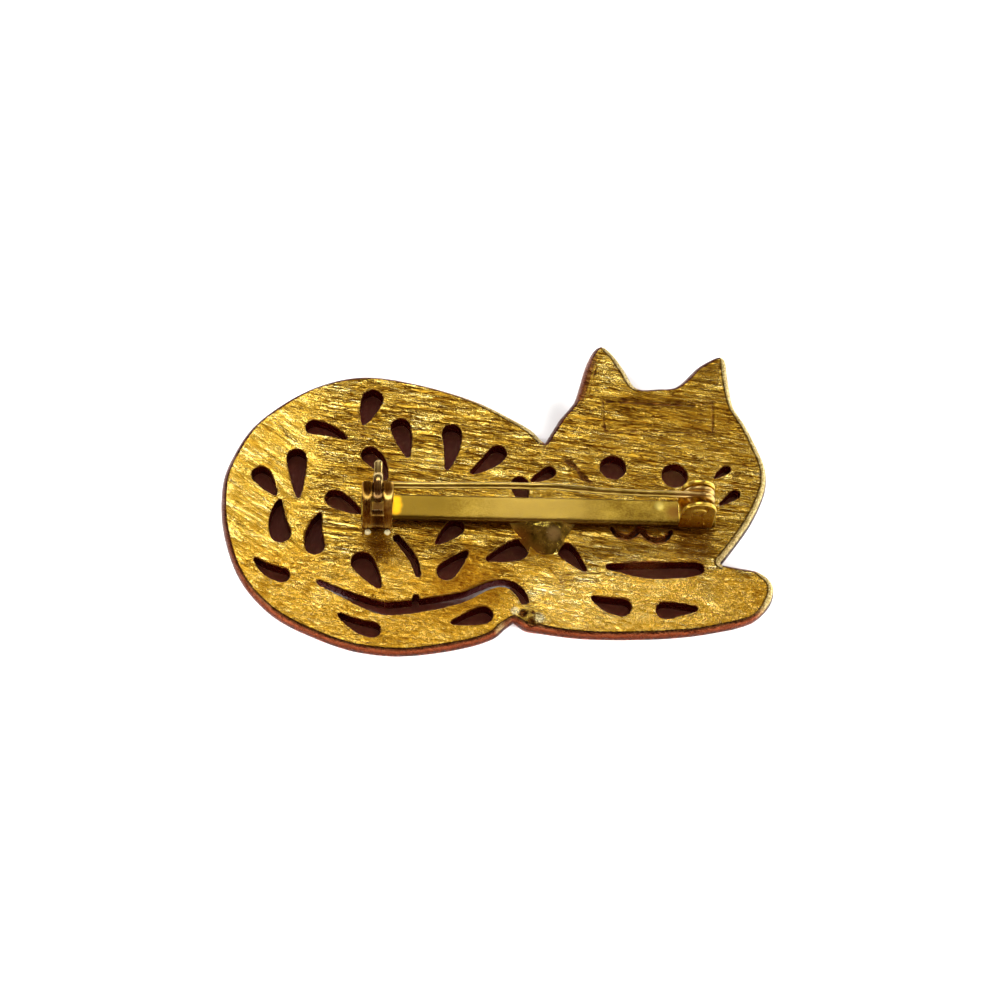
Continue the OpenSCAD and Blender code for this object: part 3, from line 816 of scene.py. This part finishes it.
# Lines cut into the filed back, or raised from it where the depth is below zero:
# their points, width and depth
LINES = [
    ([(7.15, 3.6), (7.6, 3.15), (8.1, 2.5), (8.6, 1.85), (9.3, 1.2)], 1.0, 0.24),
    ([(10.9, 11.1), (16.6, 10.95), (22.3, 10.85), (22.1, 7.4), (16.5, 7.35), (11.0, 7.3),
      (10.9, 11.1)], 0.5, 0.13),
    ([(11.3, 10.8), (14.0, 10.75), (17.0, 10.65), (20.5, 10.6)], 0.5, 0.2),
    ([(15.2, 10.2), (17.5, 10.3), (19.9, 10.3)], 0.25, -0.05),
    ([(11.4, 7.55), (15.0, 7.65), (19.5, 7.6)], 0.35, 0.07),
    ([(-21.7, 6.95), (-21.2, 5.9), (-20.2, 5.1)], 0.3, -0.07),
    ([(-21.0, 9.3), (-19.0, 8.8), (-16.4, 7.9)], 0.3, -0.06),
    ([(5.1, -8.5), (5.6, -9.2), (6.1, -9.8)], 0.35, -0.14),
    ([(6.2, -9.2), (8.2, -9.0), (10.4, -8.9)], 0.3, 0.09),
    ([(6.3, -9.75), (8.3, -9.6), (9.8, -9.7)], 0.3, -0.09),
    ([(9.5, 11.6), (9.95, 13.4), (10.5, 15.3)], 0.35, 0.12),
    ([(22.85, 13.1), (23.0, 14.1), (23.2, 15.3)], 0.3, 0.12),
    ([(-25.3, -9.3), (-23.6, -11.7), (-22.0, -13.3)], 0.35, 0.07),
]

# The bare panel sunk into the back of the head
PANEL_MIDDLE = (16.6, 9.15)
PANEL_HALF = (5.5, 1.7)
PANEL_DEPTH = 0.06

# Lumps on the back, and pits where the height is below zero: x, y, radius, height
LUMPS = [
    (2.9, -13.9, 1.6, 0.42),
    (2.3, -13.4, 0.55, -0.42),
    (3.1, -14.4, 0.5, -0.38),
    (3.3, -13.3, 0.35, -0.25),
    (4.2, -14.3, 0.6, 0.2),
    (-14.2, 7.9, 0.8, 0.07),
    (24.2, 2.4, 0.6, -0.08),
]

# A cut of this depth is as brown as a cut gets
FULLY_SUNK = 0.2

# Angles of the file's strokes, on the body and left of the band where they change
BODY_STROKES = -8
LEFT_STROKES = -36
LEFT_BAND = (-19.5, -13.5)

# The ways that the rim faces where it gets the painted highlight on its bevel, and where it gets
# painted shade
LIT_WAY = (1.0, 0.2)
SHADY_WAY = (-0.86, 0.5)


def waves(x, y, seed):
    """Smooth noise about zero."""
    return noise.noise(Vector((x, y, seed)))


def rubbed(x, y, angle, along, across, seed):
    """Noise drawn out along an angle in degrees."""
    c, s = math.cos(math.radians(angle)), math.sin(math.radians(angle))
    u, v = x * c + y * s, y * c - x * s
    return waves(u * along, v * across, seed)


def filing(x, y):
    """Height of the file's strokes, in millimetres."""
    wander = 2.5 * waves(x * 0.15, y * 0.15, 3.0)
    low, high = LEFT_BAND
    share = min(1, max(0, (high - x + wander) / (high - low)))
    body = rubbed(x, y, BODY_STROKES, 0.12, 1.4, 0.0)
    body += 0.6 * rubbed(x, y, BODY_STROKES - 3, 0.25, 2.4, 5.0)
    left = rubbed(x, y, LEFT_STROKES, 0.16, 1.4, 9.0)
    left += 0.6 * rubbed(x, y, LEFT_STROKES + 3, 0.3, 2.4, 2.0)
    rough = 0.06 * min(1, max(0.35, (y + 9.5) / 5))
    return rough * ((1 - share) * body + share * left) + 0.12 * waves(x * 0.3, y * 0.3, 8.0)


def in_panel(top):
    """1 inside the sunk panel and 0 outside it, with a soft edge."""
    past = (np.abs(top - PANEL_MIDDLE) - PANEL_HALF).max(axis=1)
    return np.clip(0.5 - past / 0.5, 0, 1)


def carved(top, height):
    """Lines and lumps added to the heights, and how far each point is sunk, from 0 to 1."""
    sunk = np.zeros(len(top))
    for line, width, depth in LINES:
        share = np.clip(distance_to(top, np.array(line), closed=False) / (width / 2), 0, 1)
        on_line = share < 1
        worn = [0.8 + 0.9 * waves(x * 1.1, y * 1.1, 5.0) for x, y in top[on_line]]
        depth_here = depth * (1 - share**2) ** 2
        depth_here[on_line] *= np.clip(worn, 0.1, 1.3)
        height = height - depth_here
        sunk = np.maximum(sunk, depth_here / FULLY_SUNK)
    height = height - PANEL_DEPTH * in_panel(top)
    for x, y, radius, up in LUMPS:
        share = np.clip(np.hypot(top[:, 0] - x, top[:, 1] - y) / radius, 0, 1)
        rise = up * (1 - share**2) ** 2
        height = height + rise
        sunk = np.maximum(sunk, -rise / FULLY_SUNK)
    return height, np.clip(sunk, 0, 1)


def opened_out(hole):
    """A hole a little wider than its CAD outline, with a slightly uneven edge."""
    wide = [0.08 + 0.05 * waves(x * 1.7, y * 1.7, 6.0) for x, y in hole]
    return rounded_loop(hole + np.array(wide)[:, None] * outward_normals(hole), HOLE_STEP, 1)


def line_normals(line):
    ahead = np.gradient(line, axis=0)
    normal = np.stack([-ahead[:, 1], ahead[:, 0]], 1)
    return normal / np.linalg.norm(normal, axis=1)[:, None]


def back_points(outline, normals, holes):
    """Points of the back: rows along the rim, the holes and the lines, and a grid between them."""
    loose = []
    for share in (0.07, 0.18, 0.32, 0.5, 0.7, 0.88, 1.0):
        row = outline - share * RIM_W * normals
        row = row[inside(row, outline)]
        loose.append(row[distance_to(row, outline) > 0.92 * share * RIM_W])
    for gap in (0.045, 0.10, 0.17):
        loose += [hole + gap * outward_normals(hole) for hole in holes]
    for line, width, _ in LINES:
        line = respaced(np.array(line), LINE_STEP, 3)
        for gap in (-0.6, -0.4, -0.2, 0.0, 0.2, 0.4, 0.6):
            loose.append(line + gap * width * line_normals(line))
    loose = np.vstack(loose)
    loose = cleared(loose[inside(loose, outline)], holes, 0.03)
    grid = cleared(hex_grid(outline, BACK_STEP, RIM_W + 0.08), holes, 0.25)
    for line, width, _ in LINES:
        grid = grid[distance_to(grid, np.array(line), closed=False) > 0.7 * width]
    return np.vstack([loose, grid])


def back_heights(top, to_outline, to_hole):
    """Heights of the back's points, and how far each is sunk: the rim falls away, the holes'
    edges are eased, and the face between them is filed and carved."""
    u = np.clip(1 - to_outline / RIM_W, 0, 1)
    height = CAST_T * (WIDEST_UP + (1 - WIDEST_UP) * (1 - u**1.6) ** 0.625)
    v = np.clip(1 - to_hole / HOLE_EDGE, 0, 1)
    height = height - HOLE_EDGE * (1 - np.sqrt(np.maximum(1 - v**2, 0)))
    height, sunk = carved(top, height)
    flat = np.clip(to_outline / RIM_W, 0, 1) ** 2 * np.clip(to_hole / 0.2, 0.25, 1)
    strokes = np.array([filing(*p) for p in top])
    return height + flat * (strokes - FILED_DOWN), sunk


def front_side(outline, normals, holes):
    """The front's points, faces and loops: plain and flat inside its rounded rim."""
    loose = np.vstack([outline - share * RIM_W * normals for share in (0.1, 0.3, 0.6, 0.9)])
    loose = np.vstack([loose[inside(loose, outline)], hex_grid(outline, FRONT_STEP, 1.2)])
    for hole in holes:
        loose = loose[~inside(loose, hole)]
        loose = loose[distance_to(loose, hole) > 0.25]
    low, faces, rings = triangulated(outline, holes, loose)
    u = np.clip(1 - distance_to(low, outline) / (0.9 * RIM_W), 0, 1)
    height = CAST_T * WIDEST_UP * (1 - (1 - u**1.7) ** 0.588)
    height[rings[0]] = CAST_T * WIDEST_UP
    return np.column_stack([low, height]), faces[:, ::-1], rings


def ways_out(top, to_outline, outline, normals):
    """The way out of the outline at each point near it, and zero further in."""
    ways = np.zeros((len(top), 2))
    near = np.flatnonzero(to_outline < 1)
    for part in np.array_split(near, 1 + len(near) // 2000):
        apart = np.linalg.norm(top[part, None] - outline, axis=2)
        ways[part] = normals[apart.argmin(axis=1)]
    return ways


def make_casting(material):
    outline, holes = cad_loops()
    outline = turned_left(smooth_loop(outline, OUTLINE_STEP))
    holes = [opened_out(turned_left(rounded_loop(hole, HOLE_STEP))) for hole in holes]
    normals = outward_normals(outline)
    loose = back_points(outline, normals, holes)
    top, top_faces, top_rings = triangulated(outline, holes, loose)
    to_outline, to_hole = distance_to(top, outline), distance_to_holes(top, holes)
    height, sunk = back_heights(top, to_outline, to_hole)
    height[top_rings[0]] = CAST_T * WIDEST_UP
    front, front_faces, front_rings = front_side(outline, normals, holes)
    base = len(top)
    points = [np.column_stack([top, height]), front]
    faces = [top_faces, front_faces + base]

    # the walls of the holes, as rings from the back down to the front
    count = base + len(front)
    for hole, top_ring, low_ring in zip(holes, top_rings[1:], front_rings[1:]):
        rings = [np.array(top_ring)]
        start = height[top_ring].mean()
        for share in (0.25, 0.5, 0.75):
            points.append(np.column_stack([hole, np.full(len(hole), start * (1 - share))]))
            rings.append(np.arange(count, count + len(hole)))
            count += len(hole)
        rings.append(np.array(low_ring) + base)
        for a, b in zip(rings, rings[1:]):
            faces.append(np.stack([a, b, np.roll(b, -1), np.roll(a, -1)], 1))

    def with_rest(values, rest=0.0):
        """The back's numbers, and one number for the front and the walls."""
        return np.concatenate([values, np.full(count - base, rest)])

    ways = ways_out(top, to_outline, outline, normals)
    numbers = {
        "lit": with_rest(ways @ LIT_WAY),
        "shady": with_rest(ways @ SHADY_WAY),
        "edge": with_rest(to_outline, 0.2),
        "hole": with_rest(to_hole, -0.3),
        "sunk": with_rest(sunk),
        "panel": with_rest(in_panel(top)),
    }
    shape = np.vstack(points), [face for part in faces for face in part]
    soldered("casting", shape, material, numbers=numbers)


# The pin back

# A small dimple in the bar's face: x, y, radius, depth
DIMPLE = (15.95, -1.85, 0.5, 0.06)

# How the stem bows on its way from the hinge: share of its length, share of the bow
STEM_BENDS = [(0, 0), (0.20, 0), (0.32, 0.16), (0.40, 0.56), (0.49, 1.0), (0.58, 0.86), (1, 0)]

# The rivet's head: radius, and height over the ear
RIVET_HEAD = [
    (0.0, 0.05), (0.40, 0.048), (0.58, 0.035), (0.65, 0.01), (0.66, -0.02), (0.64, -0.04),
    (RIVET_R, -0.04),
]


def bar_section():
    """Across the bar: flat face, eased edges, and a thin flange along each lower edge."""
    half = BAR_W / 2
    side = [(half - 0.02, FACE_Z - BAR_T), (half, FACE_Z - BAR_T + 0.05)]
    side += arc((half - BAR_EASED, FACE_Z - BAR_EASED), BAR_EASED, 0, 90, 6)
    face = [(y, FACE_Z) for y in np.linspace(half - BAR_EASED, BAR_EASED - half, 9)[1:-1]]
    across = side + face + [(-y, z) for y, z in reversed(side)]
    return [(BAR_Y + y, z) for y, z in across]


def make_bar(material):
    section = bar_section()
    stations = np.linspace(BAR_LEFT, BAR_RIGHT, 180)
    dimple_x, dimple_y, dimple_r, dimple_depth = DIMPLE
    points = []
    for x in stations:
        for y, z in section:
            lift = 0.02 * waves(x * 0.4, y * 0.6, 0.0) + 0.012 * waves(x * 1.6, y * 1.6, 7.0)
            away = math.hypot(x - dimple_x, y - dimple_y) / dimple_r
            if z > FACE_Z - 0.1 and away < 1:
                lift -= dimple_depth * (1 - away**2)
            points.append((x, y, z + lift if z > FACE_Z - BAR_EASED - 0.05 else z))
    faces = ring_faces(len(stations), len(section))
    bevelled(soldered("bar", (points, faces), material), 0.05, 2, 50)


def make_ears(material):
    half = EAR_FOOT / 2
    outline = [(-half, -0.3), (half, -0.3), (half, 0.2)]
    outline += arc((0, HINGE.z - FACE_Z), EAR_R, 0, 180, 28)
    outline += [(-half, 0.2)]
    outline = [(HINGE.x + x, FACE_Z + z) for x, z in outline]
    for name, side in (("ear_front", -1), ("ear_back", 1)):
        y = BAR_Y + side * EAR_PITCH / 2
        ear = prism(outline, y - EAR_T / 2, y + EAR_T / 2, "Y")
        bevelled(soldered(name, ear, material), 0.14, 4)
    deep = (EAR_PITCH + EAR_T) / 2
    outline = rectangle(HINGE.x - half, HINGE.x + half, BAR_Y - deep, BAR_Y + deep)
    foot = prism(outline, FACE_Z - BAR_T, FACE_Z + 0.02, "Z")
    bevelled(soldered("ear_foot", foot, material), 0.12)


def bowed(share):
    """The share of the stem's bow at a share of its length."""
    for (a, low), (b, high) in zip(STEM_BENDS, STEM_BENDS[1:]):
        if share <= b:
            t = (share - a) / (b - a)
            return low + (high - low) * (3 * t**2 - 2 * t**3)


def make_stem(material):
    ring = RIVET_R + COIL_GAP + WIRE_R
    back_y = STEM_Y + COIL_PITCH
    path = []
    steps = 84
    for i in range(steps + 1):
        # the turns start under the rivet and step across below it
        turn = 0.5 + COIL_TURNS * i / steps
        step = min(1, max(0, (turn - 1.25) / 0.5))
        y = back_y + (STEM_Y - back_y) * step**2 * (3 - 2 * step)
        a = 2 * math.pi * turn
        path.append((HINGE.x - ring * math.sin(a), y, HINGE.z + ring * math.cos(a)))
    first = path[-1][0]
    run = CATCH.x + 0.6 + TIP_L - HINGE.x
    start_z, end_z = HINGE.z + ring, CATCH.z + 0.1
    steps = 60
    for i in range(1, steps):
        share = i / steps
        z = start_z + share * (end_z - start_z) + STEM_BOW * bowed(share)
        path.append((first + share * run, STEM_Y, z))
    path.append((first + run, STEM_Y, end_z))
    radii = [WIRE_R] * len(path)
    for share in (0.25, 0.5, 0.75, 1):
        path.append((first + run - TIP_L * share, STEM_Y, end_z))
        radii.append(WIRE_R * (1 - share) ** 0.8 + 0.05)
    new_object("pin_wire", swept(path, radii), material, "stem", "pin_stem")


def make_rivet(material):
    half = (EAR_PITCH + EAR_T) / 2
    rows = [(r, half + up) for r, up in RIVET_HEAD]
    rows += [(r, -along) for r, along in reversed(rows)]
    points = []
    for r, along in rows:
        ring = arc((HINGE.x, HINGE.z), r, 0, 360, RIVET_SIDES)[:-1]
        points += [(x, BAR_Y + along, z) for x, z in ring]
    shape = points, ring_faces(len(rows), RIVET_SIDES, ends=False)
    new_object("rivet", shape, material, "brooch", "hinge_rivet")


def domed(low, high, drop, outline):
    """A band along X whose outside falls by a drop towards both its ends."""
    slices = []
    for s in (-1, -0.97, -0.9, -0.78, -0.6, -0.35, 0, 0.35, 0.6, 0.78, 0.9, 0.97, 1):
        x = (low + high) / 2 + s * (high - low) / 2
        spots = outline(drop * (1 - math.sqrt(1 - s * s)))
        slices.append((x, [(CATCH.y + y, CATCH.z + z) for y, z in spots]))
    return lofted(slices)


def hook(inner, outer, near, low, steps=34):
    """A ring open from an upright cut at the top round to a level cut below its middle."""
    def start(radius):
        return math.degrees(math.acos(near / radius))

    def end(radius):
        return 360 - math.degrees(math.asin(low / radius))

    out = arc((0, 0), outer, start(outer), end(outer), steps)
    return out + arc((0, 0), inner, end(inner), start(inner), steps)


def bead(middle, radii, rings=10, sides=18):
    """An uneven drop of metal."""
    points = []
    for i in range(rings + 1):
        up = math.pi * (i + 0.02) / (rings + 0.04)
        for k in range(sides):
            a = 2 * math.pi * k / sides
            way = Vector((math.sin(up) * math.cos(a), math.sin(up) * math.sin(a), math.cos(up)))
            swell = 1 + 0.3 * noise.noise(way * 1.3 + Vector(middle))
            points.append([m + r * swell * w for m, r, w in zip(middle, radii, way)])
    return points, ring_faces(rings + 1, sides)


def make_catch(material, beads):
    inner = CHEEK_R - CHEEK_WALL
    near = STEM_Y - CATCH.y - WIRE_R - 0.1
    foot_y = -CHEEK_R - CATCH_FOOT_OUT
    leg_low = FACE_Z - BAR_T / 2 - CATCH.z
    leg = [(-CHEEK_R + 0.01, 0.1), (foot_y, leg_low), (foot_y + 0.55, leg_low)]
    leg += [(-inner - 0.08, -0.6)]
    leg = [(CATCH.y + y, CATCH.z + z) for y, z in leg]
    left, right = CATCH.x - CHEEK_W - LEVER_GAP / 2, CATCH.x + CHEEK_W + LEVER_GAP / 2

    def cheek_ring(sunk):
        return hook(inner, CHEEK_R - sunk, near, HOOK_END)

    for name, x in (("cheek_left", left), ("cheek_right", left + CHEEK_W + LEVER_GAP)):
        cheek = joined(
            domed(x, x + CHEEK_W, CHEEK_DOME, cheek_ring),
            prism(leg, x + 0.06, x + CHEEK_W - 0.06, "X"),
        )
        bevelled(soldered(name, cheek, material), 0.08, 3, 50)

    y0 = CATCH.y + foot_y
    outline = rectangle(left, right, y0, BAR_Y + BAR_W / 2)
    foot = prism(outline, FACE_Z - BAR_T, FACE_Z - FOOT_SUNK, "Z")
    bevelled(soldered("catch_foot", foot, material), 0.1)
    for name, x in (("bead_left", left + 0.6), ("bead_right", right - 0.5)):
        drop = bead((x, y0 - 0.28, CAST_T + 0.12), (0.30, 0.27, 0.32))
        soldered(name, drop, beads)

    half = (LEVER_GAP + 0.25) / 2
    x0, x1 = CATCH.x - half, CATCH.x + half
    tab = rectangle(y0, y0 + STOP_T, FACE_Z - 0.3, FACE_Z + STOP_TOP)
    roll = arc((y0 + STOP_T / 2, FACE_Z + STOP_TOP), ROLL_R, 0, 345, 23)
    stop = joined(prism(tab, x0, x1, "X"), prism(roll, x0, x1, "X"))
    bevelled(soldered("catch_stop", stop, material), 0.05)
    curl = arc((foot_y + 0.1, FACE_Z + 0.12 - CATCH.z), CURL_R, 0, 345, 23)
    band = domed(x0 + 0.06, x1 - 0.06, 0.1, lambda sunk: [(y, z - sunk) for y, z in curl])
    soldered("catch_curl", band, material)


def make_barrel(material):
    near = STEM_Y - CATCH.y - WIRE_R - 0.06
    outer = CHEEK_R - CHEEK_WALL - TURN_GAP
    bore = outer - TROUGH_WALL
    half = CHEEK_W + LEVER_GAP / 2 - 0.1
    collar = CHEEK_R - COLLAR_SUNK
    collar_half = LEVER_GAP / 2 - SIDE_PLAY
    trough = [(CATCH.y + y, CATCH.z + z) for y, z in hook(bore, outer, near, TROUGH_END)]

    def collar_ring(sunk):
        return arc((0, 0), collar - sunk, 0, 360, 56)[:-1]

    lever_half = collar_half - 0.08
    turn = Matrix.Rotation(math.radians(LEVER_DEG), 2)
    slices = []
    for s in (-1, -0.95, -0.85, -0.65, -0.35, 0, 0.35, 0.65, 0.85, 0.95, 1):
        thick = 0.04 + 0.16 * math.sqrt(1 - s * s)
        end = LEVER_REACH - lever_half * (1 - math.sqrt(1 - 0.9 * s * s))
        flat = [(bore, -thick), *arc((end - thick, 0), thick, -90, 90, 8), (bore, thick)]
        turned = [turn @ Vector(p) + Vector((CATCH.y, CATCH.z)) for p in flat]
        slices.append((CATCH.x + s * lever_half, turned))

    barrel = joined(
        prism(trough, CATCH.x - half, CATCH.x - collar_half + 0.02, "X"),
        prism(trough, CATCH.x + collar_half - 0.02, CATCH.x + half, "X"),
        domed(CATCH.x - collar_half, CATCH.x + collar_half, COLLAR_DOME, collar_ring),
        lofted(slices),
    )
    piece = new_object("barrel", barrel, material, "catch", "catch_barrel")
    bevelled(piece, 0.05, 3, 50)


def make_solder(material):
    """The mound beside the bar: a loft from the bar's edge out to its nose."""
    rows, across = 34, 64
    middle_x = (BAR_LEFT + BAR_RIGHT) / 2 + MOUND_RIGHT
    edge_y = BAR_Y - BAR_W / 2
    points, faces = [], []
    for i in range(rows + 1):
        v = i / rows
        half = 3.5 - 2.0 * v**1.1 + 0.3 * waves(v * 3, 0.0, 1.0)
        for k in range(across + 1):
            u = 2 * k / across - 1
            x, y = middle_x + u * half, edge_y + 0.4 - v * MOUND_OUT * (1 - 0.12 * u * u)
            dome = max(0.0, 1 - abs(u) ** 2.4) ** 0.8 * max(0.0, 1 - v**3) ** 0.7
            slope = 0.80 * (1 - v) ** 1.3 + 0.32
            lump = 0.30 * waves(x * 0.55, y * 0.55, 4.0) + 0.03 * waves(x * 2.4, y * 2.4, 2.0)
            points.append((x, y, CAST_T - 0.15 + (slope + lump) * dome))
    for i in range(rows):
        for k in range(across):
            a = i * (across + 1) + k
            faces.append((a, a + 1, a + across + 2, a + across + 1))
    soldered("solder", (points, faces), material)


make_camera()
make_lights()
make_floor()
filed = casting_material()
bar_gold = smooth_gold(
    "bar_gold",
    ((0.18, 0.105, 0.010), (0.44, 0.29, 0.04)),
    (0.34, 0.46),
    0.025,
    (6, 8, 5),
    [
        (3.8, -2.2, 5.0, (0.42, 0.28, 0.05)),
        (-7.5, -2.5, 3.5, (0.22, 0.135, 0.015)),
        # painted highlight at the bar's left end, beside the catch
        (-10.05, -1.8, 0.40, (1.0, 0.52, 0.015)),
        (-10.0, -2.4, 0.45, (1.0, 0.50, 0.015)),
        (-10.1, -3.0, 0.42, (1.0, 0.50, 0.015)),
        # painted highlight in the dimple
        (15.95, -1.85, 0.4, (0.70, 0.55, 0.12)),
        # dark painted reflection of the ears at the bar's right end
        (17.4, -2.5, 0.7, (0.26, 0.13, 0.02)),
        # dark painted reflection of the catch on the bar beneath it
        (CATCH.x, -2.6, 0.75, (0.08, 0.036, 0.008)),
    ],
)
catch_gold = smooth_gold(
    "catch_gold",
    ((0.42, 0.20, 0.022), (1.0, 0.72, 0.20)),
    (0.24, 0.34),
    0.02,
    (3.2, 0.35, 0.35),
    [
        # painted shade under the barrel
        (CATCH.x, -2.3, 0.7, (0.10, 0.045, 0.010)),
        # painted shade on the left cheek
        (CATCH.x - 1.0, -3.5, 0.8, (0.24, 0.11, 0.012)),
        # painted shade on the right cheek
        (CATCH.x + 0.9, -3.5, 0.5, (0.40, 0.20, 0.025)),
        # painted shade on the stop, under the barrel
        (CATCH.x, -4.45, 0.55, (0.20, 0.10, 0.02)),
    ],
)
ear_gold = smooth_gold("ear_gold", ((0.70, 0.42, 0.03), (1.0, 0.74, 0.14)), (0.26, 0.36), 0.008)
wire_gold = smooth_gold(
    "wire_gold",
    ((0.36, 0.24, 0.04), (0.61, 0.42, 0.095)),
    (0.28, 0.36),
    0.006,
    (0.8, 5, 5),
    [(HINGE.x - 0.5, -2.3, 2.0, (0.74, 0.50, 0.16))],
)
lever_gold = smooth_gold(
    "lever_gold",
    ((0.30, 0.20, 0.045), (0.66, 0.50, 0.19)),
    (0.22, 0.34),
    0.012,
    (3.2, 0.3, 0.3),
    [
        # painted shade on the collar's upper part
        (CATCH.x - 0.3, -3.2, 0.6, (0.30, 0.16, 0.05)),
        # painted shade on the collar's lower part
        (CATCH.x, -4.2, 0.6, (0.22, 0.12, 0.04)),
        (CATCH.x, -1.4, 0.7, (0.42, 0.30, 0.10)),
    ],
)
# A pale, nearly white gold that paints the glints at the catch's feet, a little less metallic, so
# that the floor lights reach the beads in the catch's shadow
bead_metal = smooth_gold(
    "bead_metal", ((0.90, 0.76, 0.36), (1.0, 0.90, 0.52)), (0.3, 0.4), 0.02, metal=0.86
)
solder_metal = smooth_gold(
    "solder_metal",
    ((0.20, 0.145, 0.018), (0.62, 0.47, 0.10)),
    (0.14, 0.28),
    0.08,
    (1.4, 1.4, 1.4),
    [
        (1.9, -5.4, 1.1, (0.50, 0.24, 0.04)),
        (3.4, -7.2, 1.2, (0.55, 0.30, 0.05)),
        # painted highlight on the solder's facet
        (5.4, -4.9, 0.6, (1.0, 0.86, 0.40)),
    ],
)
make_casting(filed)
make_solder(solder_metal)
make_bar(bar_gold)
make_ears(ear_gold)
make_catch(catch_gold, bead_metal)
make_stem(wire_gold)
make_rivet(ear_gold)
make_barrel(lever_gold)
bpy.context.scene.view_settings.view_transform = "Standard"
